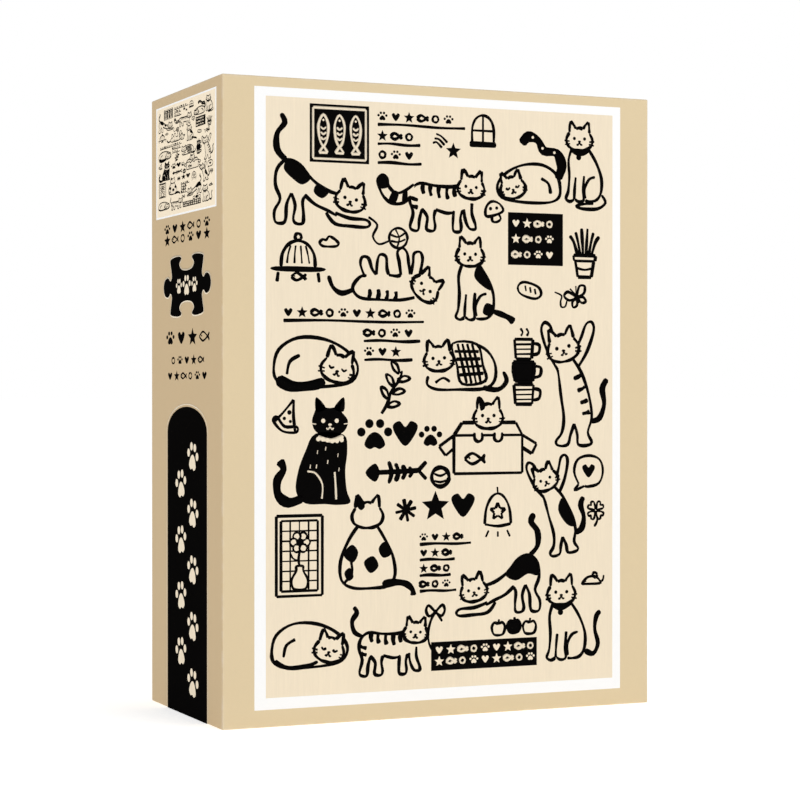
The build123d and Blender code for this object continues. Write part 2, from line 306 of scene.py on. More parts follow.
def make_fibre_effect():
    """Paper: cloudy tone, fine fibres and a little grain, with the height for a bump."""
    inputs = (
        ("Colour", "NodeSocketColor", (0.8, 0.8, 0.8, 1)),
        ("Cloud", "NodeSocketFloat", 0.03),
        ("Fibre", "NodeSocketFloat", 0.05),
        ("Stretch", "NodeSocketFloat", 1.0),
        ("Fineness", "NodeSocketFloat", 1.0),
    )
    outputs = (("Colour", "NodeSocketColor"), ("Height", "NodeSocketFloat"))
    nodes, given, result = new_effect("paper fibre", inputs, outputs)
    values = {0: nodes.coordinates(), "Scale": given.outputs["Fineness"]}
    finer = nodes.add("ShaderNodeVectorMath", values, operation="SCALE").outputs[0]
    apart = nodes.add("ShaderNodeSeparateXYZ", {0: finer}).outputs
    tall = nodes.maths("DIVIDE", apart[2], given.outputs["Stretch"])
    place = nodes.add("ShaderNodeCombineXYZ", {0: apart[0], 1: apart[1], 2: tall}).outputs[0]
    cloud = nodes.noise(place, 38.0, 3.0)
    fibre = nodes.noise(place, 620.0, 6.0, 0.65, 1.2)
    grain = nodes.noise(place, 4200.0, 2.0)
    tone = nodes.maths("MULTIPLY", nodes.maths("SUBTRACT", cloud, 0.5), given.outputs["Cloud"])
    weave = nodes.maths("MULTIPLY", nodes.maths("SUBTRACT", fibre, 0.5), given.outputs["Fibre"])
    level = nodes.maths("ADD", nodes.maths("ADD", tone, weave), 1.0)
    shade = nodes.add("ShaderNodeCombineColor", {0: level, 1: level, 2: level}).outputs[0]
    tinted = nodes.mix(1.0, given.outputs["Colour"], shade, "MULTIPLY")
    nodes.join(tinted, result.inputs["Colour"])
    height = nodes.maths(
        "ADD", nodes.maths("MULTIPLY", fibre, 0.7), nodes.maths("MULTIPLY", grain, 0.3)
    )
    nodes.join(height, result.inputs["Height"])


def make_wear_effect():
    """Wear along a box's edges: 1 on an edge, and 0 a little way from it."""
    inputs = (
        ("Middle", "NodeSocketVector", (0, 0, 0)),
        ("Half", "NodeSocketVector", (1, 1, 1)),
        ("Reach", "NodeSocketFloat", 0.001),
    )
    nodes, given, result = new_effect("edge wear", inputs, (("Mask", "NodeSocketFloat"),))
    coordinates = nodes.coordinates()
    away = nodes.vector("SUBTRACT", coordinates, given.outputs["Middle"])
    inside = nodes.vector("SUBTRACT", given.outputs["Half"], nodes.vector("ABSOLUTE", away))
    apart = nodes.add("ShaderNodeSeparateXYZ", {0: inside}).outputs
    # An edge is where two of the three distances to the faces are small: their middle value.
    low = nodes.maths("MINIMUM", apart[0], apart[1])
    high = nodes.maths("MAXIMUM", apart[0], apart[1])
    middle = nodes.maths("MAXIMUM", low, nodes.maths("MINIMUM", high, apart[2]))
    ragged = nodes.ramp(nodes.noise(coordinates, 260.0, 5.0, 0.6), 0.42, 0.7)
    near = nodes.maths("SUBTRACT", 1.0, nodes.maths("DIVIDE", middle, given.outputs["Reach"]))
    mask = nodes.maths("MULTIPLY", nodes.maths("MAXIMUM", near, 0.0), ragged)
    nodes.join(mask, result.inputs["Mask"])


def new_material(name):
    """A material with only its shader and output: itself, its nodes and its shader."""
    material = bpy.data.materials.new(name)
    material.use_nodes = True
    return material, Nodes(material.node_tree), material.node_tree.nodes["Principled BSDF"]


def paper_material(
    name, colour, roughness, cloud=0.03, fibre=0.05, stretch=1.0, fine=1.0, bump=0.05, gloss=0.3,
    wear=None,
):
    """Paper or board. wear is the box whose edges rub through to the white of the paper."""
    nodes, shader = new_material(name)[1:]
    values = {
        "Colour": rgba(colour), "Cloud": cloud, "Fibre": fibre, "Stretch": stretch, "Fineness": fine
    }
    fibres = nodes.effect("paper fibre", values)
    tint = fibres["Colour"]
    if wear:
        low, high = wear
        values = {"Middle": (low + high) / 2, "Half": (high - low) / 2, "Reach": WEAR_REACH}
        worn = nodes.maths("MULTIPLY", nodes.effect("edge wear", values)["Mask"], WEAR_SHARE)
        pale = [0.55 * part + 0.42 for part in colour]
        tint = nodes.mix(worn, tint, rgba(pale))
    nodes.join(tint, shader.inputs["Base Color"])
    shader.inputs["Roughness"].default_value = roughness
    shader.inputs["Specular IOR Level"].default_value = gloss
    nodes.bump(shader, fibres["Height"], bump, 0.08 * MM)


def weld_material():
    """The welded strip of the film: milky, and pressed in fine ribs."""
    nodes, shader = new_material("welded film")[1:]
    values = {"Vector": nodes.coordinates(), "Scale": 210.0}
    ribs = nodes.add("ShaderNodeTexWave", values, bands_direction="Z").outputs["Fac"]
    nodes.bump(shader, ribs, 0.6, 0.3 * MM)
    nodes.join(nodes.ramp(ribs, 0.0, 1.0, 0.2, 0.42), shader.inputs["Alpha"])
    shader.inputs["Base Color"].default_value = FILM_TINT
    shader.inputs["Roughness"].default_value = 0.2


def film_material():
    """Clear film: nearly all light goes straight through, with sharp gloss and fine creases."""
    nodes, shader = new_material("clear film")[1:]
    place = nodes.place((1, 1, 0.6))
    crease = nodes.noise(place, 55.0, 5.0, 0.55, 2.2)
    fine = nodes.noise(place, 240.0, 3.0, 0.5, 1.0)
    height = nodes.maths("ADD", crease, nodes.maths("MULTIPLY", fine, 0.25))
    nodes.bump(shader, height, 0.55, 1.2 * MM)
    nodes.join(nodes.ramp(crease, 0.35, 0.75, 0.07, 0.24), shader.inputs["Alpha"])
    shader.inputs["Base Color"].default_value = FILM_TINT
    shader.inputs["Roughness"].default_value = 0.12
    shader.inputs["IOR"].default_value = 1.5


def printed_piece_material(paper):
    """The pressed picture side: cream with stretches of black brush line."""
    nodes, shader = new_material("printed piece")[1:]
    fibres = nodes.effect(
        "paper fibre", {"Colour": rgba(paper.panel), "Cloud": 0.04, "Fibre": 0.05}
    )
    place = nodes.place()
    bend = nodes.noise(place, 62.0, 1.2, 0.4, 0.6)
    line = nodes.maths("ABSOLUTE", nodes.maths("SUBTRACT", bend, 0.5))
    drawn = nodes.ramp(line, 0.009, 0.015, 1.0, 0.0)
    patch = nodes.ramp(nodes.noise(place, 40.0, 1.0), 0.665, 0.672)
    kept = nodes.ramp(nodes.noise(place, 90.0, 0.0), 0.36, 0.4)
    black = nodes.maths("MAXIMUM", nodes.maths("MULTIPLY", drawn, kept), patch)
    nodes.join(nodes.mix(black, fibres["Colour"], rgba(paper.ink)), shader.inputs["Base Color"])
    shader.inputs["Roughness"].default_value = 0.55
    shader.inputs["Sheen Weight"].default_value = 0.25
    shader.inputs["Sheen Roughness"].default_value = 0.5
    nodes.bump(shader, fibres["Height"], 0.12, 0.06 * MM)


def make_materials(scene):
    """All finishes, by name."""
    paper = scene.puzzle_paper
    make_fibre_effect()
    make_wear_effect()
    # The spine's material takes the darker spine tan, which is painted shade for the box's left
    # side
    for case, tan, box in (
        ("lid", paper.ground, LID), ("base", paper.ground, BASE), ("spine", paper.spine, LID)
    ):
        paper_material("tan " + case + " print", tan, 0.62, gloss=0.06, wear=box)
    paper_material(
        "cream picture print", paper.panel, 0.6, cloud=0.05, fibre=0.15, stretch=16.0, fine=1.8,
        gloss=0.15,
    )
    # Painted light: a lighter copy of the cream print for the spine's small picture, standing in
    # for light the spine's side lacks
    pale = [min(1.1 * part, 1.0) for part in paper.panel]
    paper_material("pale picture print", pale, 0.6, cloud=0.05, fibre=0.1, gloss=0.15)
    paper_material("white print", (0.97, 0.97, 0.965), 0.5, cloud=0.01, fibre=0.02)
    paper_material("black print", paper.ink, 0.55, cloud=0.2, fibre=0.5, bump=0.03, gloss=0.0)
    paper_material("greyboard", (0.36, 0.335, 0.29), 0.88, cloud=0.22, fibre=0.5, bump=0.35)
    paper_material("board edge", (0.42, 0.41, 0.38), 0.9, cloud=0.2, fibre=0.6, bump=0.4)
    paper_material("corner tape", (0.55, 0.42, 0.25), 0.6, cloud=0.08, fibre=0.18, bump=0.12)
    paper_material("sheet paper", (0.86, 0.83, 0.76), 0.7, cloud=0.03, fibre=0.06, bump=0.08)
    paper_material("blue-grey back", scene.puzzle_pieces.back, 0.8, cloud=0.1, fibre=0.28, bump=0.2)
    printed_piece_material(paper)
    film_material()
    weld_material()


# ---- Building helpers ----


def add_piece(name, shape, body, slot, *finishes):
    """A new piece from a bmesh, placed in its mesh, with its finishes and body; slot is not used.
    """
    mesh = bpy.data.meshes.new(name)
    shape.to_mesh(mesh)
    shape.free()
    piece = bpy.data.objects.new(name, mesh)
    bpy.context.scene.collection.objects.link(piece)
    for finish in finishes:
        mesh.materials.append(bpy.data.materials[finish])
    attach(piece, body)
    return piece


def dress(node, finish):
    """Gives a CAD node its finish."""
    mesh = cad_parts[node].data
    mesh.materials.clear()
    mesh.materials.append(bpy.data.materials[finish])


def box_mesh(low, high):
    """A bmesh box between two corners."""
    box = bmesh.new()
    bmesh.ops.create_cube(box, size=1)
    bmesh.ops.scale(box, vec=high - low, verts=box.verts)
    bmesh.ops.translate(box, vec=(low + high) / 2, verts=box.verts)
    return box


# ---- Drawings ----
# A page is a list of marks, in millimetres from its lower left corner. A line mark has a width and
# a shape mark is filled. Within one drawing a later mark lies over an earlier one, a level higher.

Mark = namedtuple("Mark", "kind points width colour closed smooth level")
PAGE_WIDTH, PAGE_HEIGHT = 127.6, 194.2  # the picture's page, in millimetres


class Pen:
    """Draws on a page at one place, size and turn. Mirrored drawings look the other way."""

    def __init__(self, page, x, y, size=1.0, mirror=False, turn=0.0, width=1.1):
        self.page = page
        self.x = x
        self.y = y
        self.size = size
        self.flip = -1 if mirror else 1
        self.turn = radians(turn)
        self.width = width
        self.colour = "ink"
        self.level = 0

    def at(self, point):
        across = point[0] * self.size * self.flip
        up = point[1] * self.size
        x = self.x + across * cos(self.turn) - up * sin(self.turn)
        y = self.y + across * sin(self.turn) + up * cos(self.turn)
        return (x, y)

    def mark(self, kind, points, width, colour, closed, smooth):
        if self.page and (self.page[-1].colour != colour or kind == "shape" and colour == "paper"):
            self.level += 1
        placed = [self.at(point) for point in points]
        self.page.append(Mark(kind, placed, width * self.width, colour, closed, smooth, self.level))

    def line(self, *points, width=1.0, closed=False):
        self.mark("line", points, width, self.colour, closed, True)

    def corner(self, *points, width=1.0):
        """Straight lines from point to point."""
        for start, end in zip(points, points[1:]):
            self.line(start, end, width=width)

    def shape(self, *points, colour=None, smooth=True):
        self.mark("shape", points, 0, colour or self.colour, True, smooth)

    def dot(self, x, y, r=0.16, colour=None, wide=1.0):
        ring = [(x + r * wide * cos(k * pi / 4), y + r * sin(k * pi / 4)) for k in range(8)]
        self.shape(*ring, colour=colour)

    def ring(self, x, y, r, width=1.0):
        turns = [k * pi / 4 for k in range(8)]
        self.line(*[(x + r * cos(t), y + r * sin(t)) for t in turns], width=width, closed=True)

    def coat(self, body, patches=()):
        """A body that hides what lies under it, with its black patches."""
        self.shape(*body, colour="paper")
        for patch in patches:
            self.shape(*patch)


def head(pen, x, y, r=1.55, tilt=0.0, eyes="open"):
    """A cat's head: from the front with its eyes open or closed, or from behind with none."""
    turn = radians(tilt)

    def place(*points):
        return [
            (x + r * (a * cos(turn) - b * sin(turn)), y + r * (a * sin(turn) + b * cos(turn)))
            for a, b in points
        ]

    outline = [(-0.86, 0.42), (-1.12, -0.08), (-0.98, -0.58), (-0.5, -0.86), (0, -0.92)]
    outline += [(-a, b) for a, b in reversed(outline[:-1])]
    filling = [(-0.72, 1.2), *outline, (0.72, 1.2), (0.3, 0.74), (-0.3, 0.74)]
    pen.shape(*place(*filling), colour="paper")
    pen.line(*place(*outline))
    pen.line(*place((-0.86, 0.42), (-0.84, 0.86), (-0.78, 1.28)))
    pen.line(*place((-0.78, 1.28), (-0.52, 1.04), (-0.3, 0.72)))
    pen.line(*place((-0.3, 0.72), (0, 0.8), (0.3, 0.72)))
    pen.line(*place((0.86, 0.42), (0.84, 0.86), (0.78, 1.28)))
    pen.line(*place((0.78, 1.28), (0.52, 1.04), (0.3, 0.72)))
    if eyes == "none":
        return
    if eyes == "open":
        for side in (-1, 1):
            pen.dot(*place((side * 0.44, -0.02))[0], 0.13 * r)
    else:
        for side in (-1, 1):
            pen.line(
                *place((side * 0.62, 0.02), (side * 0.44, -0.12), (side * 0.24, 0.0)), width=0.7
            )
    pen.dot(*place((0, -0.24))[0], 0.09 * r, wide=1.5)
    pen.line(
        *place((-0.24, -0.44), (-0.12, -0.5), (0, -0.32), (0.12, -0.5), (0.24, -0.44)), width=0.6
    )
    for side in (-1, 1):
        pen.line(*place((side * 0.84, -0.24), (side * 1.3, -0.2)), width=0.55)
        pen.line(*place((side * 0.8, -0.42), (side * 1.26, -0.52)), width=0.55)


def stripes(pen, *marks):
    """Short stripes, each from one point to another."""
    for start, end in marks:
        middle = ((start[0] + end[0]) / 2 + 0.12, (start[1] + end[1]) / 2)
        pen.line(start, middle, end, width=1.25)


def sitting(pen, patches=(), collar=False, tail="out"):
    """A cat that sits, half turned, with its tail out at the right, raised, or round its feet."""
    body = [
        (-1.0, 6.3), (-1.45, 4.9), (-1.35, 3.0), (-1.5, 1.2), (-1.75, 0.2), (-0.8, 0.0),
        (0.4, 0.05), (2.4, 0.2), (3.1, 1.2), (2.9, 3.0), (2.2, 4.8), (1.1, 6.4),
    ]
    pen.coat(body, patches)
    pen.line((1.1, 6.4), (2.2, 4.8), (2.95, 2.9), (2.9, 1.2), (2.3, 0.3), (1.4, 0.1), (0.75, 0.15))
    pen.line(
        (-1.0, 6.3), (-1.45, 4.9), (-1.35, 3.0), (-1.5, 1.2), (-1.8, 0.35), (-1.3, 0.0),
        (-0.7, 0.25),
    )
    pen.line((-0.7, 0.25), (-0.65, 1.4), (-0.5, 2.9))
    pen.line((-0.6, 0.3), (-0.1, 0.0), (0.55, 0.2), (0.5, 1.4), (0.62, 3.1))
    pen.line((0.75, 0.4), (0.72, 1.6), (1.3, 2.7), (2.1, 3.0))
    if tail == "out":
        pen.line((2.9, 1.0), (3.9, 0.7), (4.9, 0.3), (5.6, -0.2), width=1.9)
    elif tail == "up":
        pen.line((2.9, 0.9), (4.0, 0.5), (4.6, 1.6), (4.2, 3.2), (4.4, 4.6), (4.9, 5.2), width=1.5)
    else:
        pen.line(
            (3.0, 0.9), (3.5, 0.0), (2.4, -0.75), (0.4, -0.8), (-0.4, -0.5), (0.6, -0.25),
            (1.9, -0.1),
        )
    head(pen, 0, 7.5)
    if collar:
        pen.line((-1.1, 6.15), (-0.2, 5.7), (0.9, 6.0), (1.15, 6.35), width=1.5)
        pen.dot(-0.1, 5.25, 0.34)


def behind(pen, patches=()):
    """A sitting cat seen from behind."""
    body = [
        (-0.9, 6.4), (-2.0, 4.9), (-2.9, 2.8), (-2.8, 0.9), (-1.6, 0.1), (0.4, 0.0),
        (2.2, 0.2), (3.0, 1.3), (2.7, 3.3), (1.8, 5.0), (0.9, 6.4),
    ]
    pen.coat(body, patches)
    pen.line(*body)
    pen.line((-2.6, 0.5), (-1.7, 1.6), (-1.8, 2.9))
    pen.line((1.6, 0.3), (3.0, 0.5), (4.2, 0.3), (4.9, -0.3), (5.0, -0.9), width=2.0)
    head(pen, 0, 7.4, 1.5, eyes="none")
    pen.shape((-1.1, 8.2), (-1.0, 9.1), (-0.4, 8.5), (-0.3, 8.1), (-0.7, 7.8))


def walking(pen, tail_up=True):
    """A striped cat that walks to the left, with its tail up or carried behind it."""
    body = [
        (-2.6, 5.3), (0, 4.9), (2.8, 5.2), (3.9, 4.0), (3.7, 2.2), (2.6, 2.4), (0.8, 2.3),
        (-1.4, 2.1), (-3.0, 2.6), (-3.6, 3.8),
    ]
    pen.coat(body)
    pen.line(
        (-2.4, 5.25), (-1.0, 4.9), (1.0, 4.95), (2.8, 5.15), (3.8, 4.4), (4.0, 3.2), (3.6, 1.9),
        (3.95, 0.5), (3.7, 0.05), (3.0, 0.05), (2.85, 1.2), (2.55, 2.3),
    )
    pen.line((2.6, 2.4), (1.9, 1.5), (2.0, 0.2), (1.2, 0.0), (0.95, 0.5), (1.1, 1.5), (0.9, 2.35))
    pen.line((0.9, 2.35), (-0.4, 2.0), (-1.3, 2.1))
    pen.line(
        (-1.3, 2.3), (-1.2, 1.2), (-1.25, 0.1), (-2.0, 0.0), (-2.2, 0.5), (-2.1, 1.5), (-2.35, 2.4)
    )
    pen.line(
        (-2.5, 2.5), (-2.7, 1.3), (-3.2, 0.4), (-3.9, 0.35), (-3.9, 0.9), (-3.5, 2.0), (-3.5, 3.2)
    )
    if tail_up:
        pen.line((3.5, 4.7), (4.6, 5.3), (4.9, 6.6), (4.3, 7.6), (4.7, 8.3), width=1.4)
    else:
        tail = [
            (3.5, 5.0), (4.7, 4.2), (5.7, 4.0), (6.5, 4.7), (6.7, 5.5), (7.3, 5.9), (7.8, 5.2),
            (7.2, 3.7), (6.2, 2.9), (4.9, 2.9), (3.8, 3.7),
        ]
        pen.shape(*tail, colour="paper")
        pen.line(*tail)
        pen.shape((6.6, 5.2), (6.8, 5.7), (7.3, 5.9), (7.8, 5.2), (7.5, 4.4), (6.5, 4.6))
        pen.shape((5.3, 4.0), (6.0, 4.2), (6.5, 3.1), (5.7, 2.9))
        pen.shape((4.3, 4.4), (4.8, 4.15), (4.9, 2.9), (4.3, 3.2))
    stripes(
        pen, ((-1.4, 4.9), (-1.5, 3.8)), ((-0.5, 4.85), (-0.6, 3.5)), ((0.5, 4.9), (0.4, 3.6)),
        ((1.5, 5.0), (1.4, 3.8)), ((2.4, 5.1), (2.3, 4.0)), ((3.9, 3.6), (3.0, 3.3)),
        ((3.8, 2.7), (3.0, 2.5)),
    )
    head(pen, -3.4, 5.0, 1.45, tilt=4)


def curled(pen, dark=False, over=False):
    """A cat curled up asleep, with its tail round it, dark, or over its back."""
    body = [
        (-4.2, 1.6), (-3.7, 3.4), (-1.8, 4.5), (0.8, 4.4), (3.0, 3.4), (4.2, 1.9), (3.6, 0.5),
        (1.2, 0.0), (-2.2, 0.0), (-3.8, 0.5),
    ]
    pen.coat(body)
    pen.line(*body, closed=True)
    if over:
        pen.line(
            (-3.8, 2.9), (-4.4, 4.4), (-3.7, 6.0), (-2.0, 6.2), (-1.2, 7.4), (0.1, 7.8), (1.0, 6.9),
            width=2.9,
        )
        pen.dot(-4.3, 4.4, 0.16, colour="paper")
        pen.dot(-3.4, 6.05, 0.16, colour="paper")
        pen.dot(-1.8, 6.5, 0.16, colour="paper")
        pen.dot(-0.5, 7.75, 0.16, colour="paper")
    else:
        pen.line((-3.9, 0.7), (-2.4, 0.0), (-0.3, 0.1), (0.9, 0.5), width=2.9 if dark else 1.4)
    pen.line((-2.9, 1.1), (-2.6, 2.3), (-1.6, 2.9))
    head(pen, 2.2, 1.75, 1.5, tilt=-14, eyes="closed")


def stretching(pen, patches=(), dark=False):
    """A cat that bows with its rear up, facing left."""
    body = [
        (-3.0, 2.6), (-1.6, 3.3), (0.4, 4.2), (2.2, 5.9), (3.6, 6.3), (4.6, 5.2), (4.7, 3.4),
        (3.8, 3.0), (2.2, 3.1), (0.4, 1.8), (-1.6, 0.9), (-3.2, 1.0),
    ]
    pen.coat(body, patches)
    pen.line(
        (-2.4, 3.0), (-0.8, 3.4), (0.8, 4.4), (2.2, 5.9), (3.5, 6.35), (4.6, 5.4), (4.8, 3.8),
        (4.3, 2.4), (4.9, 1.2), (4.8, 0.1), (4.0, 0.0), (3.7, 0.5), (3.6, 1.9), (3.1, 3.0),
    )
    pen.line(
        (3.1, 3.0), (2.7, 1.8), (2.9, 0.5), (2.6, 0.0), (1.9, 0.05), (1.8, 0.9), (1.9, 2.2),
        (1.6, 2.8),
    )
    pen.line((1.7, 2.9), (0.6, 2.0), (-0.8, 1.4), (-1.8, 0.9))
    pen.line(
        (-1.6, 1.2), (-3.2, 0.7), (-4.9, 0.6), (-5.4, 0.2), (-5.0, -0.15), (-3.4, -0.1),
        (-1.6, 0.1), (-0.6, 1.2),
    )
    pen.line(
        (3.6, 6.2), (4.6, 7.3), (4.6, 8.9), (3.8, 10.0), (4.2, 10.9), width=1.8 if dark else 1.4
    )
    head(pen, -3.3, 2.7, 1.45, tilt=10)


def reaching(pen, patches=(), striped=False):
    """A cat that stands on its hind legs and reaches up at the left."""
    body = [
        (-1.5, 8.6), (-0.1, 8.2), (1.2, 6.6), (2.0, 4.4), (2.2, 2.4), (1.2, 1.4), (-0.4, 2.0),
        (-0.9, 4.0), (-1.2, 6.2), (-2.0, 7.6),
    ]
    pen.coat(body, patches)
    pen.line(
        (0.1, 8.2), (1.2, 6.7), (2.0, 4.6), (2.3, 2.6), (1.9, 1.2), (2.3, 0.3), (1.8, 0.0),
        (0.9, 0.1), (0.8, 1.0), (0.5, 2.0),
    )
    pen.line(
        (-1.25, 7.0), (-1.1, 6.2), (-0.9, 4.6), (-0.6, 2.6), (-0.8, 1.2), (-1.4, 0.4), (-1.1, 0.0),
        (-0.2, 0.1), (0.1, 1.0), (0.5, 2.0),
    )
    pen.line((-1.2, 6.9), (-2.2, 8.4), (-2.9, 10.4), (-2.6, 11.2), (-2.0, 10.9), (-1.7, 10.0))
    pen.line((0.9, 7.2), (1.8, 8.6), (2.5, 10.5), (2.3, 11.3), (1.7, 11.1), (1.2, 9.9), (0.7, 8.9))
    pen.line((2.2, 2.2), (3.1, 2.5), (3.6, 3.8), (3.4, 5.2), (3.9, 6.1), width=1.9)
    if striped:
        stripes(
            pen, ((1.2, 6.5), (0.4, 6.1)), ((1.6, 5.4), (0.8, 5.0)), ((1.9, 4.2), (1.1, 3.9)),
            ((2.1, 3.1), (1.3, 2.9)),
        )
    head(pen, -0.7, 9.0, 1.45, tilt=12)


def on_back(pen):
    """A cat on its back that plays with a ball of wool."""
    body = [
        (-4.6, 1.2), (-3.4, 2.5), (-1.2, 2.7), (1.2, 2.5), (2.8, 2.4), (3.4, 0.8), (2.2, 0.1),
        (-1.0, 0.0), (-3.6, 0.1),
    ]
    pen.coat(body)
    pen.line(
        (2.3, 0.3), (0.6, 0.0), (-2.0, 0.0), (-4.0, 0.2), (-4.8, 1.2), (-4.0, 2.3), (-3.2, 2.5)
    )
    pen.line((-3.4, 2.3), (-3.9, 3.6), (-3.7, 4.4), (-3.0, 4.3), (-2.6, 3.2), (-2.1, 2.6))
    pen.line((-2.1, 2.6), (-2.0, 3.9), (-1.7, 4.7), (-1.0, 4.5), (-0.9, 3.3), (-0.7, 2.6))
    pen.line((-0.7, 2.6), (0.3, 2.5), (0.7, 2.7))
    pen.line((0.7, 2.6), (0.5, 4.0), (0.3, 5.0), (0.8, 5.5), (1.4, 5.0), (1.6, 3.8), (1.8, 2.7))
    pen.line((1.8, 2.7), (2.1, 3.9), (2.2, 4.9), (2.9, 5.1), (3.2, 4.4), (3.0, 3.2), (2.9, 2.5))
    pen.line((-4.7, 1.0), (-6.0, 0.6), (-7.0, 1.2), (-7.5, 2.4), width=1.4)
    stripes(
        pen, ((-3.0, 0.1), (-2.9, 1.1)), ((-2.0, 0.0), (-1.9, 1.1)), ((-1.0, 0.0), (-0.9, 1.0)),
        ((0, 0.0), (0.1, 0.9)),
    )
    head(pen, 3.6, 1.4, 1.5, tilt=-40)
    wool(pen, 0.4, 6.5, 1.05)
    pen.line((-0.6, 6.2), (-1.8, 5.8), (-2.5, 6.6), (-2.0, 7.8), (-3.0, 8.6), width=0.7)


def loaf(pen):
    """A cat that lies with its feet under it, and a checked cloth over its back."""
    body = [
        (-3.4, 3.2), (-1.8, 4.4), (0.6, 4.9), (2.8, 4.3), (4.0, 2.8), (4.0, 1.0), (2.8, 0.1),
        (0, 0.0), (-2.8, 0.0), (-3.9, 0.8),
    ]
    pen.coat(body)
    pen.line(
        (-2.0, 4.3), (0.6, 4.9), (2.8, 4.3), (4.0, 2.8), (4.0, 1.0), (2.8, 0.1), (0, 0.0),
        (-2.6, 0.0), (-3.8, 0.5), (-3.7, 1.4),
    )
    pen.line((2.6, 0.2), (4.4, 0.0), (5.4, 0.9), (5.0, 1.9), width=1.4)
    cloth = [(-0.9, 4.8), (1.9, 4.75), (2.6, 2.6), (2.9, 0.9), (0.2, 0.6), (-0.4, 2.6)]
    pen.shape(*cloth, colour="paper")
    pen.line(*cloth, closed=True, width=0.9)
    shares = [k / 5 for k in range(1, 5)]
    for t in shares:
        pen.line((-0.9 + 2.8 * t, 4.8), (-0.35 + 2.9 * t, 2.6), (0.2 + 2.7 * t, 0.65), width=0.9)
    for t in shares:
        pen.line((-0.9 + 1.0 * t, 4.8 - 4.1 * t), (1.95 + 0.95 * t, 4.75 - 3.8 * t), width=0.9)
    head(pen, -2.5, 3.3, 1.5, tilt=3)
    pen.line((-2.9, 0.7), (-2.0, 1.2), (-1.2, 0.8), width=0.9)


def peeking(pen):
    """A cat that looks out of an open box."""
    pen.shape((-2.0, 4.4), (2.0, 4.4), (1.8, 6.0), (-1.8, 6.0), colour="paper")
    head(pen, 0, 6.4, 1.6)
    pen.shape((-1.1, 7.5), (-1.2, 8.2), (-0.5, 7.8), (-0.4, 7.2), (-0.9, 6.9))
    pen.shape(*rectangle(-4.2, 0, 4.2, 4.2), colour="paper", smooth=False)
    pen.corner((-4.2, 4.2), (-4.2, 0), (4.2, 0), (4.2, 4.2), (-4.2, 4.2))
    pen.corner((-4.2, 4.2), (-6.0, 3.0), (-5.2, 2.0), (-4.2, 2.8))
    pen.corner((4.2, 4.2), (6.0, 3.2), (5.4, 2.1), (4.2, 2.8))
    pen.corner((-4.2, 4.2), (-3.2, 5.6), (-1.7, 5.6))
    pen.corner((4.2, 4.2), (3.4, 5.6), (1.7, 5.6))
    for side in (-1, 1):
        pen.shape(
            (side * 1.7, 4.7), (side * 0.8, 4.7), (side * 0.75, 3.8), (side * 1.65, 3.8),
            colour="paper",
        )
        pen.line(
            (side * 1.7, 4.5), (side * 1.65, 3.8), (side * 1.2, 3.5), (side * 0.75, 3.8),
            (side * 0.8, 4.5),
        )
    fish(pen, -1.7, 1.6, 1.0)


def black_cat(pen):
    """A black cat that sits, with a light collar."""
    pen.shape(
        (-1.3, 6.3), (-1.7, 4.9), (-1.5, 3.0), (-1.65, 1.2), (-2.0, 0.1), (-0.8, -0.1), (0.5, 0.0),
        (2.4, 0.1), (3.3, 1.2), (3.1, 3.0), (2.4, 4.8), (1.4, 6.4),
    )
    pen.line((2.6, 0.6), (4.0, 0.2), (5.0, 0.9), (5.1, 2.2), (4.5, 3.2), (4.9, 4.0), width=2.6)
    pen.shape(
        (-1.32, 9.5), (-1.0, 8.6), (-1.75, 7.6), (-1.5, 6.7), (-0.7, 6.2), (0, 6.1), (0.7, 6.2),
        (1.5, 6.7), (1.75, 7.6), (1.42, 8.6), (1.32, 9.6), (0.5, 8.8), (-0.5, 8.8),
    )
    pen.shape((-1.35, 8.4), (-1.35, 9.7), (-0.4, 8.7))
    pen.shape((1.35, 8.4), (1.35, 9.7), (0.4, 8.7))
    pen.colour = "paper"
    pen.dot(-0.66, 7.55, 0.2)
    pen.dot(0.66, 7.55, 0.2)
    pen.dot(0, 7.2, 0.11, wide=1.6)
    pen.line((-0.36, 6.9), (-0.18, 6.78), (0, 7.0), (0.18, 6.78), (0.36, 6.9), width=0.45)
    pen.line((-1.3, 6.15), (-0.2, 5.75), (1.2, 6.05), width=1.2)
    for k in range(6):
        pen.dot(-1.15 + 0.46 * k, 5.8 - 0.1 * sin(k), 0.2)
    for side in (-1, 1):
        pen.line((side * 1.35, 7.25), (side * 1.75, 7.3), width=0.4)
    pen.line((0.8, 0.5), (0.75, 1.8), (1.4, 2.8), (2.2, 3.0), width=0.6)
    for k, (x, y) in enumerate(
        ((-0.8, 4.6), (0.2, 4.0), (1.2, 4.9), (0.4, 5.2), (1.9, 3.6), (-0.9, 3.3), (1.3, 3.6))
    ):
        pen.line((x, y), (x + 0.05, y - 0.35), width=0.3)
    pen.line((-0.6, 0.4), (-0.55, 1.6), (-0.45, 2.9), width=0.6)
    pen.colour = "ink"


def around(x, y, r, *shares):
    """Points about a middle, given as shares of a reach."""
    return [(x + a * r, y + b * r) for a, b in shares]


def wool(pen, x, y, r):
    """A ball of wool."""
    pen.dot(x, y, r, colour="paper")
    pen.ring(x, y, r, width=0.8)
    pen.line(*around(x, y, r, (-0.8, 0.3), (0, 0.1), (0.7, 0.5)), width=0.6)
    pen.line(*around(x, y, r, (-0.8, -0.3), (0, -0.4), (0.8, -0.1)), width=0.6)
    pen.line(*around(x, y, r, (-0.3, 0.85), (0.1, 0), (-0.1, -0.85)), width=0.6)


def fish(pen, x, y, r):
    """A small fish that looks to the left."""
    pen.line(*around(x, y, r, (-1.2, 0), (-0.3, 0.62), (0.7, 0.1), (1.3, -0.5)), width=0.9)
    pen.line(*around(x, y, r, (-1.2, 0), (-0.3, -0.55), (0.7, -0.1), (1.3, 0.5)), width=0.9)
    pen.line(*around(x, y, r, (1.3, -0.5), (1.1, 0), (1.3, 0.5)), width=0.9)
    pen.dot(x - 0.6 * r, y + 0.1 * r, 0.12 * r)


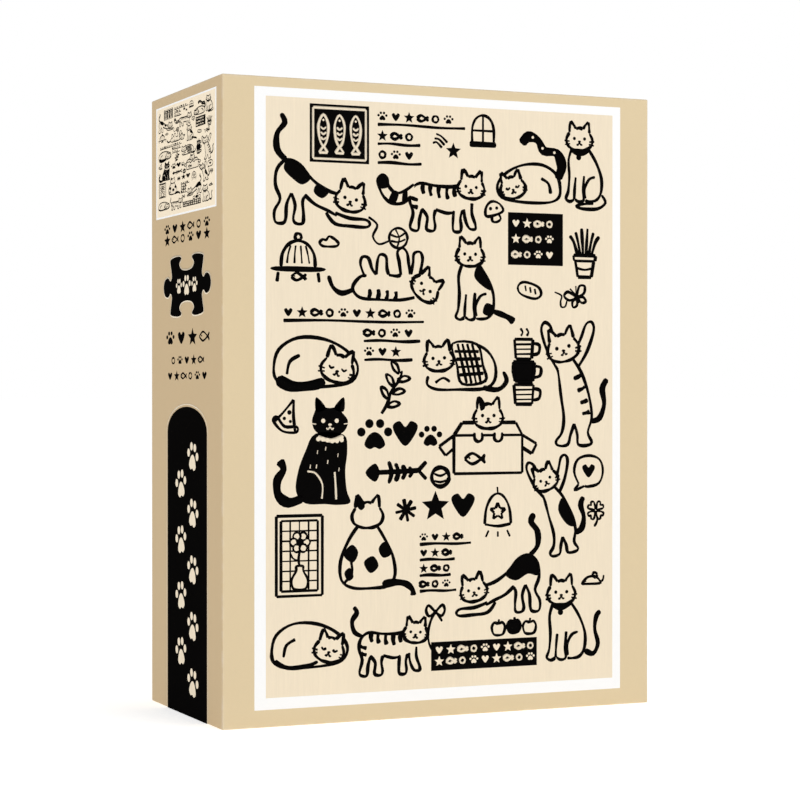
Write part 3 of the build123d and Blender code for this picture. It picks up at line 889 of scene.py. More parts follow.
def bone(pen, x, y, r, width):
    """A fish bone."""
    pen.line(*around(x, y, r, (-1.6, 0), (1.5, 0.1)), width=width)
    for k in range(4):
        a = x - 0.6 * r + 0.5 * k * r
        b = (0.75 - 0.13 * k) * r
        pen.line((a - 0.1 * r, y - b), (a + 0.12 * r, y), (a - 0.1 * r, y + b), width=width)
    pen.shape(*around(x, y, r, (-2.4, 0), (-1.7, 0.62), (-1.35, 0), (-1.7, -0.62)))
    pen.line(*around(x, y, r, (1.5, 0.1), (2.1, 0.7)), width=width)
    pen.line(*around(x, y, r, (1.5, 0.1), (2.1, -0.5)), width=width)


def paw(pen, x, y, r):
    """The print of a paw."""
    side = ((0.4, -0.02), (0.62, -0.5), (0.3, -0.74))
    left = [(-a, b) for a, b in side]
    pen.shape(*around(x, y, r, left[1], left[0], (0, 0.2), *side, (0, -0.64), left[2]))
    for a, b in ((-0.8, 0.2), (-0.32, 0.66), (0.32, 0.66), (0.8, 0.2)):
        pen.dot(x + a * r, y + b * r, 0.25 * r)


def heart(pen, x, y, r, full=False):
    side = ((0.42, 0.85), (0.92, 0.55), (0.7, -0.1))
    shares = [(0, 0.45), *side, (0, -0.85), *[(-a, b) for a, b in reversed(side)]]
    outline = around(x, y, r, *shares)
    if full:
        pen.shape(*outline)
    else:
        pen.line(*outline, closed=True)


def star(pen, x, y, r, full=False):
    tips = []
    for k in range(10):
        reach = r if k % 2 == 0 else 0.45 * r
        tips.append((x + reach * sin(k * pi / 5), y + reach * cos(k * pi / 5)))
    if full:
        pen.shape(*tips, smooth=False)
    else:
        pen.corner(*tips, tips[0])


def framed_fish(pen):
    """A black plate with three fish in a light frame."""
    pen.shape(*rectangle(0, 0, 21, 19), smooth=False)
    pen.colour = "paper"
    pen.corner((1.2, 1.2), (19.8, 1.2), (19.8, 17.8), (1.2, 17.8), (1.2, 1.2), width=0.7)
    for k in range(3):
        x = 4.8 + 5.7 * k
        pen.line(
            (x, 15.6), (x - 1.7, 12.4), (x - 1.3, 7.6), (x, 5.4), (x + 1.3, 7.6), (x + 1.7, 12.4),
            closed=True, width=0.8,
        )
        pen.corner((x, 5.4), (x - 1.5, 3.2), (x + 1.5, 3.2), (x, 5.4), width=0.8)
        pen.dot(x, 13.8, 0.36)
        for m in range(3):
            pen.line(
                (x - 1.0, 11.6 - 1.7 * m), (x, 10.9 - 1.7 * m), (x + 1.0, 11.6 - 1.7 * m), width=0.6
            )
    pen.colour = "ink"


def framed_vase(pen):
    """A double frame with a flower in a vase before a checked wall."""
    pen.corner((0, 0), (16, 0), (16, 26), (0, 26), (0, 0))
    pen.corner((1.6, 1.6), (14.4, 1.6), (14.4, 24.4), (1.6, 24.4), (1.6, 1.6))
    for k in range(1, 4):
        pen.line((1.6 + 3.2 * k, 1.8), (1.6 + 3.2 * k, 24.2), width=0.6)
    for k in range(1, 7):
        pen.line((1.8, 1.6 + 3.25 * k), (14.2, 1.6 + 3.25 * k), width=0.6)
    vase = [
        (6.2, 2.2), (10.0, 2.2), (11.0, 5.0), (9.4, 8.0), (9.2, 9.6), (7.0, 9.6), (6.8, 8.0),
        (5.2, 5.0),
    ]
    pen.shape(*vase, colour="paper")
    pen.line(*vase, closed=True)
    pen.line((8, 9.6), (7.7, 12), (8.1, 14.6))
    pen.line((8, 11.2), (5.8, 12.2), (4.8, 14.0), width=0.8)
    turns = [k * pi / 3 for k in range(6)]
    for a in turns:
        x, y = 8.2 + 2.2 * cos(a), 17.4 + 2.2 * sin(a)
        petal = [(x + 1.3 * cos(b), y + 1.3 * sin(b)) for b in turns]
        pen.shape(*petal, colour="paper")
        pen.line(*petal, closed=True, width=0.8)
    pen.dot(8.2, 17.4, 1.1)


def dark_plate(pen, wide, high, rows_of_marks):
    """A black plate with rows of small light marks."""
    pen.shape(*rectangle(0, 0, wide, high), smooth=False)
    pen.colour = "paper"
    for k in range(rows_of_marks):
        y = high - (k + 0.62) * (high - 2.0) / rows_of_marks - 0.4
        marks_row(pen, 3.0, y, wide - 2.4, k + 1, 1.55)
    pen.colour = "ink"


def marks_row(pen, start, y, end, kind, r, width=0.62):
    """A row of small marks: paws, hearts, fish and stars."""
    x = start
    count = 0
    while x < end:
        mark = (kind + count) % 5
        if mark == 0:
            paw(pen, x, y, r)
        elif mark == 1:
            heart(pen, x, y, r * 0.9, full=True)
        elif mark == 2:
            star(pen, x, y, r * 1.15, full=True)
        elif mark == 3:
            fish(pen, x, y, r * 0.95)
        else:
            pen.ring(x, y, r * 0.6, width=width)
        x += r * 2.75
        count += 1


def phrase(pen, wide, kind):
    """A row of small marks over a hand-drawn underline."""
    r = 1.75
    marks_row(pen, r, 0, wide - r, kind, r, width=0.75)
    pen.line((0, -2.7), (wide * 0.3, -2.45), (wide * 0.7, -2.8), (wide, -2.55), width=0.9)


def sprig(pen):
    """A stalk with leaves."""
    pen.line((0, 0), (0.6, 4), (0.2, 8), (1.4, 13), (1.0, 16))
    for k in range(6):
        y = 3.0 + 2.3 * k
        side = -1 if k % 2 else 1
        leaf = [(0.5 + side * a, y + b) for a, b in ((0, 0), (2.4, 0.6), (4.2, 2.6), (2.0, 2.6))]
        pen.line(*leaf, (0.6, y + 0.3), width=0.9)


def pot_plant(pen):
    """A plant with long leaves in a pot."""
    for k in range(6):
        a = -1.1 + 0.44 * k
        pen.line((2.0 * a, 6.0), (3.2 * a, 10.0), (4.4 * a, 14.5 - abs(a) * 2.5), width=1.05)
    pen.corner((-3.6, 6.2), (3.6, 6.2), (3.4, 4.6), (-3.4, 4.6), (-3.6, 6.2))
    pen.corner((-3.0, 4.6), (-2.2, 0), (2.2, 0), (3.0, 4.6))
    pen.line((-2.6, 2.6), (0, 2.1), (2.6, 2.6), width=0.7)


def bell(pen):
    """A dish under a cover, on a small table."""
    pen.line((-5.5, 4.6), (-5.1, 8.4), (-3.0, 11.4), (0, 12.4), (3.0, 11.4), (5.1, 8.4), (5.5, 4.6))
    pen.ring(0, 13.6, 1.0)
    for k in range(4):
        pen.line((-3.6 + 2.4 * k, 5.6), (-3.2 + 2.1 * k, 8.4), (-2.4 + 1.6 * k, 11.0), width=0.6)
    pen.shape((-7.4, 4.6), (7.4, 4.6), (7.0, 3.2), (-7.0, 3.2))
    pen.line((-6.4, 3.0), (-6.8, 0), width=1.2)
    pen.line((6.4, 3.0), (6.8, 0), width=1.2)
    fish(pen, 0, 1.6, 1.9)


def mugs(pen):
    """Three mugs on top of each other."""
    for k, (wide, y) in enumerate(((3.4, 0), (3.7, 7.0), (3.2, 14.0))):
        outline = [
            (-wide, y + 6.4), (-wide * 0.85, y + 0.4), (wide * 0.85, y + 0.4), (wide, y + 6.4)
        ]
        if k == 1:
            pen.shape(*outline)
        pen.corner(*outline, outline[0])
        pen.line(
            (wide, y + 5.2), (wide + 2.2, y + 4.6), (wide + 1.9, y + 2.2), (wide * 0.9, y + 1.6)
        )
        if k != 1:
            for m in range(3):
                pen.line(
                    (-wide * 0.9, y + 1.8 + 1.5 * m), (wide * 0.9, y + 1.9 + 1.5 * m), width=0.6
                )
    pen.line((-1.0, 21.4), (-0.4, 22.6), (-1.2, 23.8), width=0.8)
    pen.line((1.0, 21.4), (1.6, 22.6), (0.8, 23.8), width=0.8)


def small_things(page):
    """Small drawings between the cats."""

    def pen(x, y, size=1.0, turn=0.0):
        return Pen(page, x, y, size, False, turn, 0.98)

    window = pen(73.8, 182.0)
    window.line((0, 0), (0, 5.4), (1.4, 8.6), (4, 9.8), (6.6, 8.6), (8, 5.4), (8, 0))
    window.line((-1, 0), (9, 0), width=1.9)
    window.line((4, 0.2), (4, 9.6), width=0.8)
    window.line((0.2, 4.6), (7.8, 4.6), width=0.8)
    comet = pen(60.0, 181.0)
    star(comet, 6.8, -1.7, 2.9, full=True)
    for k in range(3):
        comet.line(
            (4.6 - k, 1.0 - 0.9 * k), (2.4 - 0.9 * k, 3.0 - 1.0 * k),
            (0.4 - 0.6 * k, 3.8 - 1.6 * k), width=0.8,
        )
    mushroom = pen(83.0, 156.6, 1.15, 18)
    mushroom.line((-2.9, 2.2), (-2.2, 4.6), (0, 5.8), (2.2, 4.6), (2.9, 2.2), (0, 1.7), closed=True)
    mushroom.line((-1.1, 1.9), (-1.4, 0.2), (0, -0.4), (1.4, 0.2), (1.1, 1.9))
    mushroom.dot(-0.9, 3.9, 0.55)
    mushroom.dot(1.1, 3.5, 0.5)
    cloud = pen(19.6, 146.4, 0.75)
    cloud.line(
        (0, 0), (-1.2, 1.4), (0.2, 2.8), (1.8, 2.6), (3.2, 4.2), (5.2, 3.4), (6.4, 2.6), (7.6, 1.2),
        (6.6, 0), (3.0, -0.3), closed=True,
    )
    bread = pen(95.4, 133.2, turn=-16)
    bread.line((-4.6, 0), (-2.8, 2.2), (2.6, 2.2), (4.6, 0), (2.6, -2.1), (-2.8, -2.1), closed=True)
    for k in range(3):
        bread.line((-2.1 + 1.9 * k, 1.2), (-1.2 + 1.9 * k, -0.6), width=0.8)
    moth = pen(113.6, 131.2, 0.9, 24)
    for side in (-1, 1):
        moth.line((0, 0), (side * 2.6, 3.4), (side * 4.8, 2.6), (side * 3.4, 0.2), (0, 0))
        moth.line((0, -0.2), (side * 2.4, -0.8), (side * 3.0, -2.8), (side * 1.2, -2.8), (0, -0.6))
        moth.line((0, 0.8), (side * 1.0, 3.2), (side * 1.4, 4.2), width=0.6)
    moth.line((0, 1.6), (0, -2.4), width=2.0)
    moth.line(
        (-4.4, 0.6), (-6.0, -1.2), (-7.6, -0.6), (-7.0, 1.4), (-5.8, 3.2), (-8.0, 5.6), width=0.7
    )
    wedge = pen(6.4, 87.4, 1.1, -20)
    wedge.line((0, 8.6), (1.6, 4.0), (3.6, 0))
    wedge.line((0, 8.6), (-1.8, 4.0), (-3.4, 0.6))
    wedge.line(
        (-3.9, 0.6), (-0.2, -1.3), (4.0, -0.2), (3.6, 1.4), (0, 0.2), (-3.2, 2.0), closed=True
    )
    wedge.dot(0, 4.6, 0.7)
    wedge.dot(-0.9, 2.4, 0.55)
    wedge.dot(1.2, 2.2, 0.5)
    burst = pen(49.4, 59.6, 0.92)
    for k in range(8):
        a = k * pi / 4 + 0.2
        burst.line((0, 0), (4.2 * cos(a), 4.2 * sin(a)), width=1.25)
    for k in range(4):
        a = k * pi / 2 + pi / 4
        x, y = 121.0 + 1.9 * cos(a), 58.0 + 1.9 * sin(a)
        heart(Pen(page, x, y, 1.0, False, k * 90 - 45, 0.8), 0, 0, 1.6)
    pen(121.0, 58.0).line((0, -0.8), (0.6, -3.4), (-0.6, -5.6))
    mouse = pen(119.4, 32.8, 0.95)
    mouse.line((-4.0, 0), (-1.8, 2.3), (1.4, 2.6), (3.2, 1.2), (3.2, 0), (-4.0, 0))
    mouse.ring(1.3, 3.1, 0.9)
    mouse.line((3.2, 0.4), (4.6, 1.2), (5.0, 3.0), width=0.8)
    mouse.dot(-2.4, 0.9, 0.3)
    mouse.dot(-4.0, 0.1, 0.4)
    for k in range(3):
        fruit = pen(83.6 + 5.9 * k, 18.6 + 0.5 * (k % 2), 0.95)
        round_fruit = [
            (0, 2.0), (1.6, 2.4), (2.6, 0.8), (1.9, -1.6), (0, -2.1), (-1.9, -1.6), (-2.6, 0.8),
            (-1.6, 2.4),
        ]
        fruit.line(*round_fruit, closed=True)
        fruit.line((0, 2.0), (0.3, 3.6), width=0.9)
        if k == 1:
            fruit.shape(*round_fruit)
    bow = pen(60.2, 25.4, 0.95)
    for side in (-1, 1):
        bow.line((0, 0), (side * 2.6, 2.4), (side * 3.6, 0.6), (side * 2.4, -1.4), (0, 0))
    bow.line((0.3, -0.2), (1.6, -1.8), (2.6, -3.4))
    bow.line((-0.3, -0.2), (-1.8, -3.0), (-2.8, -7.0), (-2.4, -11.0), (-0.6, -14.0))
    bow.dot(0, 0, 0.9)
    bubble = pen(118.2, 71.4, 1.12)
    bubble.line(
        (-3.4, -3.8), (-5.0, 0), (-3.8, 3.7), (0, 4.9), (3.8, 3.7), (5.0, 0), (3.6, -3.6),
        (0, -4.6), (-1.4, -4.4),
    )
    bubble.line((-3.4, -3.8), (-4.8, -5.6), (-1.4, -4.4))
    heart(bubble, 0, 0.2, 2.4, full=True)
    lamp = pen(83.4, 51.2, 0.95)
    lamp.line(
        (-5.2, 3.2), (-4.6, 8.6), (-2.6, 12.6), (0, 14.0), (2.6, 12.6), (4.6, 8.6), (5.2, 3.2)
    )
    lamp.line((-5.2, 3.2), (0, 2.4), (5.2, 3.2))
    lamp.line((0, 14.0), (-0.2, 16.4), width=0.8)
    star(lamp, 0, 7.6, 3.2)
    for side in (-1, 0, 1):
        lamp.line((side * 3.6, 1.0 - 0.4 * (side == 0)), (side * 4.8, -1.4), width=0.9)


def rectangle(left, low, right, high):
    return [(left, low), (right, low), (right, high), (left, high)]


def draw_picture():
    """The whole picture, on its own page."""
    page = []

    def pen(x, y, size=1.0, mirror=False, turn=0.0, width=1.14):
        return Pen(page, x, y, size, mirror, turn, width)

    framed_fish(pen(15.2, 173.6))
    stretching(
        pen(18.9, 153.4, 3.25, True),
        patches=[
            [(1.0, 4.7), (2.2, 5.9), (3.5, 6.3), (3.9, 5.4), (2.9, 4.4), (1.9, 3.9)],
            [(-0.9, 3.3), (0.3, 4.0), (0.7, 3.2), (-0.2, 2.6)],
        ],
        dark=True,
    )
    for y, wide, kind in ((189.6, 32.0, 0), (183.2, 15.5, 2), (177.0, 16.0, 4)):
        phrase(pen(39.2, y), wide, kind)
    walking(pen(63.0, 152.4, 3.05, True), tail_up=False)
    curled(pen(95.2, 163.2, 2.85, True), over=True)
    sitting(pen(114.6, 164.0, 2.9), collar=True, tail="in")
    bell(pen(11.2, 134.4, 1.08))
    on_back(pen(45.4, 129.2, 3.15))
    sitting(
        pen(73.0, 123.0, 2.95),
        patches=[
            [(1.1, 6.3), (2.1, 4.9), (2.7, 3.4), (1.5, 3.9), (0.5, 5.0)],
            [(2.9, 1.6), (2.5, 0.5), (1.6, 0.8), (2.0, 1.9)],
        ],
    )
    dark_plate(pen(87.2, 141.8), 21.0, 17.8, 3)
    pot_plant(pen(116.6, 138.2, 1.2))
    for x, y, wide, kind in ((6.0, 124.6, 50.0, 1), (34.2, 118.2, 20.5, 3), (34.4, 112.0, 17.5, 0)):
        phrase(pen(x, y), wide, kind)
    curled(pen(17.4, 100.6, 3.5), dark=True)
    loaf(pen(69.4, 99.6, 3.2))
    mugs(pen(93.2, 94.2, 1.1))
    reaching(pen(110.8, 80.4, 3.75), striped=True)
    sprig(pen(40.6, 91.6, 1.0, False, -24))
    black_cat(pen(22.3, 62.2, 3.6, True))
    peeking(pen(79.8, 71.4, 3.05))
    title = pen(0, 0, width=1.9)
    paw(title, 38.2, 84.4, 6.0)
    heart(title, 49.2, 85.0, 4.9, full=True)
    paw(title, 58.4, 83.8, 4.1)
    bone(title, 46.6, 72.2, 4.9, width=0.8)
    title.ring(62.0, 70.4, 3.2, width=0.75)
    title.line((59.6, 71.6), (62.0, 70.8), (64.4, 71.8), width=0.5)
    title.line((59.6, 69.2), (62.0, 68.7), (64.4, 69.3), width=0.5)
    star(title, 60.2, 60.6, 5.3, full=True)
    heart(title, 70.4, 60.8, 4.7, full=True)
    framed_vase(pen(3.6, 32.6, width=0.9))
    behind(
        pen(35.6, 34.2, 3.3),
        patches=[
            [(-2.6, 3.4), (-1.7, 4.4), (-1.0, 3.6), (-1.6, 2.6)],
            [(-0.4, 2.6), (0.6, 3.2), (1.2, 2.2), (0.3, 1.5)],
            [(1.9, 4.6), (2.6, 3.4), (1.7, 3.0), (1.2, 3.9)],
            [(-2.5, 1.6), (-1.9, 2.1), (-1.5, 1.2), (-2.1, 0.8)],
        ],
    )
    reaching(
        pen(107.6, 43.2, 2.95, False, 9),
        patches=[[(1.2, 6.5), (1.9, 4.7), (2.2, 3.0), (1.2, 3.4), (0.4, 5.2)]],
    )
    for k, wide in enumerate((19.0, 13.0, 11.5, 13.5)):
        phrase(pen(54.4, 50.4 - 5.2 * k, 0.86), wide / 0.86, k)
    stretching(
        pen(84.4, 24.2, 3.05),
        patches=[
            [(0.6, 4.3), (2.2, 5.9), (3.5, 6.3), (4.6, 5.3), (4.6, 4.0), (3.4, 4.2), (1.9, 3.5)]
        ],
        dark=True,
    )
    curled(pen(15.2, 9.4, 3.15))
    walking(pen(43.6, 5.4, 2.75, True))
    dark_plate(pen(58.6, 5.8), 39.6, 9.6, 2)
    sitting(pen(107.6, 7.2, 3.1), collar=True, tail="up")
    small_things(page)
    return page


# ---- Print ----

Sheet = namedtuple("Sheet", "origin across up out")  # a page's lower left corner and its directions

BRUSH_SEED = 11
LEVEL_SPACING = 1000.0  # keeps the levels apart while the lines are one curve
FLATTENING = 0.004  # how flat a line's tube is pressed
CURVE_STEPS = 4  # straight runs between two points of a smooth outline


def on_sheet(sheet, x, y, height):
    """A point of a page: x and y in millimetres, and its height over the paper in metres."""
    return sheet.origin + sheet.across * (x * MM) + sheet.up * (y * MM) + sheet.out * height


def print_page(
    name, page, sheet, body, slot, ground, scale=(1.0, 1.0), steps=CURVE_STEPS, broad=1.0, clip=()
):
    """Prints a page: one piece for its black marks and one for the light marks among them.

    ground is the print's height in millimetres, broad widens the brush, and clip holds planes,
    each a point and the direction that is cut away.
    """
    for colour, finish in (("ink", "black print"), ("paper", "cream picture print")):
        marks = [mark for mark in page if mark.colour == colour]
        if not marks:
            raise RuntimeError("nothing to print in " + name)
        print_mesh = bmesh.new()
        print_shapes(print_mesh, marks, sheet, scale, ground)
        print_lines(print_mesh, marks, sheet, scale, ground, steps, broad)
        for point, outward in clip:
            everything = print_mesh.verts[:] + print_mesh.edges[:] + print_mesh.faces[:]
            bmesh.ops.bisect_plane(
                print_mesh, geom=everything, plane_co=point, plane_no=outward, clear_outer=True
            )
        bmesh.ops.recalc_face_normals(print_mesh, faces=print_mesh.faces)
        add_piece(name + "_" + colour, print_mesh, body, slot, finish)


def smooth_through(points, closed, steps):
    """Points along a smooth curve through the given ones."""
    count = len(points)
    spans = count if closed else count - 1
    through = []
    for k in range(spans):
        start, end = points[k], points[(k + 1) % count]
        before = points[k - 1] if closed or k else start
        after = points[(k + 2) % count] if closed or k + 2 < count else end
        for step in range(steps):
            t = step / steps
            # Catmull-Rom weights
            weights = (
                -t + 2 * t**2 - t**3, 2 - 5 * t**2 + 3 * t**3, t + 4 * t**2 - 3 * t**3,
                -(t**2) + t**3,
            )
            pulls = list(zip(weights, (before, start, end, after)))
            through.append(
                tuple(sum(weight * point[axis] for weight, point in pulls) / 2 for axis in (0, 1))
            )
    if not closed:
        through.append(points[-1])
    return through


def print_shapes(print_mesh, marks, sheet, scale, ground):
    """The filled marks, each a thin plate on the paper."""
    for mark in marks:
        if mark.kind == "shape":
            outline = smooth_through(mark.points, True, CURVE_STEPS) if mark.smooth else mark.points
            height = (ground + mark.level * LEVEL) * MM
            places = [on_sheet(sheet, x * scale[0], y * scale[1], height) for x, y in outline]
            corners = [print_mesh.verts.new(place) for place in places]
            bmesh.ops.extrude_face_region(print_mesh, geom=[print_mesh.faces.new(corners)])
            bmesh.ops.translate(print_mesh, vec=-sheet.out * height, verts=corners)


def print_lines(print_mesh, marks, sheet, scale, ground, steps, broad):
    """The brush lines: tubes of uneven width with round ends, pressed nearly flat."""
    lines = [mark for mark in marks if mark.kind == "line"]
    if not lines:
        return
    wobble = bpy.context.scene.puzzle_picture.wobble
    curve = bpy.data.curves.new("brush lines", "CURVE")
    curve.dimensions = "3D"
    curve.bevel_depth = 1.0
    curve.bevel_resolution = 0
    curve.use_fill_caps = True
    brush = Random(BRUSH_SEED)
    for mark in lines:
        smooth = mark.smooth and len(mark.points) > 2
        path = smooth_through(mark.points, mark.closed, steps) if smooth else mark.points
        path = [(x * scale[0], y * scale[1]) for x, y in path]
        half = mark.width / 2 * min(scale) * broad
        if not mark.closed:
            path = round_ends(path, half)
        spline = curve.splines.new("POLY")
        spline.points.add(len(path) - 1)
        spline.use_cyclic_u = mark.closed
        phase = brush.uniform(0, 2 * pi)
        for k, (x, y) in enumerate(path):
            taper = 0.5 if not mark.closed and k in (0, len(path) - 1) else 1.0
            # A quick and a slow wave along the line
            uneven = sin(phase + 0.9 * k) + sin(2.3 * phase + 0.31 * k)
            spline.points[k].co = (x, y, mark.level * LEVEL_SPACING, 1)
            spline.points[k].radius = half * taper * (1 + wobble * uneven)
    holder = bpy.data.objects.new("brush lines", curve)
    bpy.context.scene.collection.objects.link(holder)
    bpy.context.view_layer.update()
    graph = bpy.context.evaluated_depsgraph_get()
    tubes = bpy.data.meshes.new_from_object(holder.evaluated_get(graph))
    before = len(print_mesh.verts)
    print_mesh.from_mesh(tubes)
    print_mesh.verts.ensure_lookup_table()
    for vert in print_mesh.verts[before:]:
        level = round(vert.co.z / LEVEL_SPACING)
        height = ground + level * LEVEL + (vert.co.z - level * LEVEL_SPACING) * FLATTENING
        vert.co = on_sheet(sheet, vert.co.x, vert.co.y, height * MM)
    bpy.data.objects.remove(holder)
    bpy.data.curves.remove(curve)
    bpy.data.meshes.remove(tubes)


def round_ends(path, half):
    """The path with a point just inside each end, where the brush reaches its full width."""
    rounded = list(path)
    for end, beside in ((0, 1), (-1, -2)):
        run = hypot(path[beside][0] - path[end][0], path[beside][1] - path[end][1])
        if run > half:
            share = 0.45 * half / run
            point = tuple(
                there + (next_to - there) * share for there, next_to in zip(path[end], path[beside])
            )
            rounded.insert(1 if end == 0 else len(rounded) - 1, point)
    return rounded


# ---- The spine's drawings ----


# Half of a jigsaw piece's side, as shares of its half width and half height
JIGSAW = (
    (0.22, 0.56), (0.31, 0.74), (0.22, 0.92), (0.32, 1.0), (0.52, 0.99), (0.68, 0.93), (0.7, 0.82),
    (0.65, 0.5), (0.64, 0.32), (0.7, 0.21), (0.8, 0.33), (0.94, 0.26),
)


def jigsaw_outline(width, height):
    """A jigsaw piece about its middle: knobs at the left and right, sockets above and below."""
    right = [(a * width / 2, b * height / 2) for a, b in JIGSAW]
    side = [*right, (width / 2, 0), *[(a, -b) for a, b in reversed(right)]]
    return [(0, height / 4), *side, (0, -height / 4), *[(-a, b) for a, b in reversed(side)]]


# Rows of small marks: height as a share, reach to the left, length, first mark, size, brush
SPINE_ROWS = (
    (0.7795, 13.1, 27.0, 0, 1.9, 0.7),
    (0.7615, 13.1, 27.0, 2, 1.9, 0.7),
    (0.602, 11.0, 23.0, 0, 2.7, 0.8),
    (0.566, 9.0, 18.5, 4, 1.65, 0.7),
    (0.541, 11.2, 22.9, 1, 1.65, 0.7),
)
ROW_STRETCH = 1.6  # how much broader the marks of the rows are
SIGN_HEIGHT = 0.685  # of the jigsaw sign's middle, as a share
SIGN_SIZE = (50.0, 20.2)
BAND_LEFT, BAND_RIGHT, BAND_TOP = 0.243, 0.80, 0.492  # the black band's edges, as shares
BAND_RISE = 8.5  # of its round top
HAIRLINE_GAP = 0.8
TRAIL = 9  # paws on the band


def draw_spine():
    """The spine's signs: a jigsaw piece, rows of small marks, and a black band of paws."""
    page = []
    depth = (LID[1].y - LID[0].y) / MM
    height = (LID[1].z - LID[0].z) / MM
    middle = 0.52 * depth

    def pen(x, y, colour="ink", level=0, turn=0.0, width=0.6):
        tool = Pen(page, x, y, 1.0, False, turn, width)
        tool.colour = colour
        tool.level = level
        return tool

    for share, reach, length, kind, size, width in SPINE_ROWS:
        marks_row(pen(middle - reach, share * height, width=width), 0, 0, length, kind, size, 0.9)
    for k, mark in enumerate(page):
        broader = [(middle + (x - middle) * ROW_STRETCH, y) for x, y in mark.points]
        page[k] = mark._replace(points=broader)
    outline = jigsaw_outline(*SIGN_SIZE)
    pen(middle, SIGN_HEIGHT * height, "paper").line(*outline, closed=True, width=1.6)
    pen(middle, SIGN_HEIGHT * height, level=1).shape(*outline)
    for side in (-1, 0, 1):
        paw(pen(middle + 8.2 * side, SIGN_HEIGHT * height, "paper", 2), 0, -0.2, 3.0 + (side == 0))
    left, right, arch = BAND_LEFT * depth, BAND_RIGHT * depth, BAND_TOP * height
    centre, half = (left + right) / 2, (right - left) / 2

    def round_top(gap):
        turns = [k * pi / 16 for k in range(17)]
        base = arch - BAND_RISE
        return [(centre + (half + gap) * cos(t), base + (BAND_RISE + gap) * sin(t)) for t in turns]

    pen(0, 0).shape((right, 0.0), *round_top(0.0), (left, 0.0), smooth=False)
    border = round_top(HAIRLINE_GAP)
    hairline = pen(0, 0, "paper", 1, width=0.45)
    hairline.line((right + HAIRLINE_GAP, 0.4), (right + HAIRLINE_GAP, arch / 2), border[0])
    hairline.line(*border)
    hairline.line(border[-1], (left - HAIRLINE_GAP, arch / 2), (left - HAIRLINE_GAP, 0.4))
    for k in range(TRAIL):
        side = -1 if k % 2 else 1
        paw(pen(centre + 6.2 * side, arch - 17.0 - 9.4 * k, "paper", 2, -8 * side), 0, 0, 5.5)
    return page


# ---- Pieces ----

RIM_ROUNDING = 0.8  # of the paper at the rim, as a share of that at the edges


def bevel(shape, edges, offset, segments):
    """Rounds some edges. The new faces take the finish of the faces beside them."""
    return bmesh.ops.bevel(
        shape, geom=edges, offset=offset, segments=segments, profile=0.5, affect="EDGES",
        material=-1,
    )


def pulled(shape, edges):
    """Pulls new edges and faces from some edges: the new corners and the new edges."""
    drawn = bmesh.ops.extrude_edge_only(shape, edges=edges)["geom"]
    corners = [part for part in drawn if isinstance(part, bmesh.types.BMVert)]
    return corners, [part for part in drawn if isinstance(part, bmesh.types.BMEdge)]


def cover_mesh(low, high, rim, wall, edge, turn_in):
    """The covering paper of a case that is open at its rim, the way that rim points along Y."""
    cover = box_mesh(low, high)
    opened = [face for face in cover.faces if face.normal.y * rim > 0.5]
    bmesh.ops.delete(cover, geom=opened, context="FACES_ONLY")
    bevel(cover, [line for line in cover.edges if not line.is_boundary], edge, 3)
    size = high - low
    inner = Vector(((size.x - 2 * wall) / size.x, 1, (size.z - 2 * wall) / size.z))
    border = [line for line in cover.edges if line.is_boundary]
    corners, inside = pulled(cover, border)
    about = Matrix.Translation(-(low + high) / 2)
    bmesh.ops.scale(cover, vec=inner, space=about, verts=corners)
    corners = pulled(cover, inside)[0]
    bmesh.ops.translate(cover, vec=(0, -rim * turn_in, 0), verts=corners)
    bevel(cover, border + inside, edge * RIM_ROUNDING, 2)
    bmesh.ops.recalc_face_normals(cover, faces=cover.faces)
    outer = max(cover.faces, key=lambda face: -face.calc_center_median().y * rim)
    if outer.normal.y * rim > 0:
        bmesh.ops.reverse_faces(cover, faces=cover.faces)
    return cover


class PUZZLE_OT_cover(bpy.types.Operator):
    """Folds the printed paper over the lid and the base, round their rims and inwards"""

    bl_idname = "puzzle.cover"
    bl_label = "Covering paper"

    def execute(self, context):
        paper = context.scene.puzzle_paper
        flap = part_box("lid_paper_left")
        wall = flap[1].x - flap[0].x
        for case, box, rim in (("lid", LID, 1), ("base", BASE, -1)):
            cover = cover_mesh(*box, rim, wall, paper.edge, paper.turn_in)
            if case == "lid":
                self.mark_spine(cover, box[0].x + paper.edge)
            # The spine's faces take the darker tan: painted shade
            finishes = ("tan " + case + " print", "tan spine print")
            piece = add_piece(case + "_cover", cover, case, "covering_paper", *finishes)
            sheet = piece.modifiers.new("paper", "SOLIDIFY")
            sheet.thickness = paper.thickness
            sheet.offset = -1
            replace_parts(piece, *covers(case))
        return {"FINISHED"}

    def mark_spine(self, cover, edge):
        """The second finish, the darker tan that paints the spine's shade, for the faces that look
        to the left, outside the given edge.
        """
        for face in cover.faces:
            face.material_index = int(face.normal.x < -0.7 and face.calc_center_median().x < edge)


class PUZZLE_OT_board(bpy.types.Operator):
    """Gives the greyboard and the corner tapes their finish"""

    bl_idname = "puzzle.board"
    bl_label = "Board and corner tapes"

    def execute(self, context):
        for case in ("lid", "base"):
            dress(case + "_board", "greyboard")
        for tape in TAPES:
            dress(tape, "corner tape")
        return {"FINISHED"}


def front_sheet(share_x, share_z):
    """The front's page, from a corner given as shares of its width and height."""
    low, high = LID
    corner = Vector((low.x + share_x * (high.x - low.x), low.y, low.z + share_z * (high.z - low.z)))
    return Sheet(corner, Vector((1, 0, 0)), Vector((0, 0, 1)), Vector((0, -1, 0)))


def plate_on_front(name, finish, thickness, left, right, bottom, top):
    """A thin printed area on the front, its edges given as shares."""
    low, high = LID
    width, height = high.x - low.x, high.z - low.z
    corner = Vector((low.x + left * width, low.y - thickness * MM, low.z + bottom * height))
    opposite = Vector((low.x + right * width, low.y + BACKING * MM, low.z + top * height))
    add_piece(name, box_mesh(corner, opposite), "lid", "covering_paper", finish)


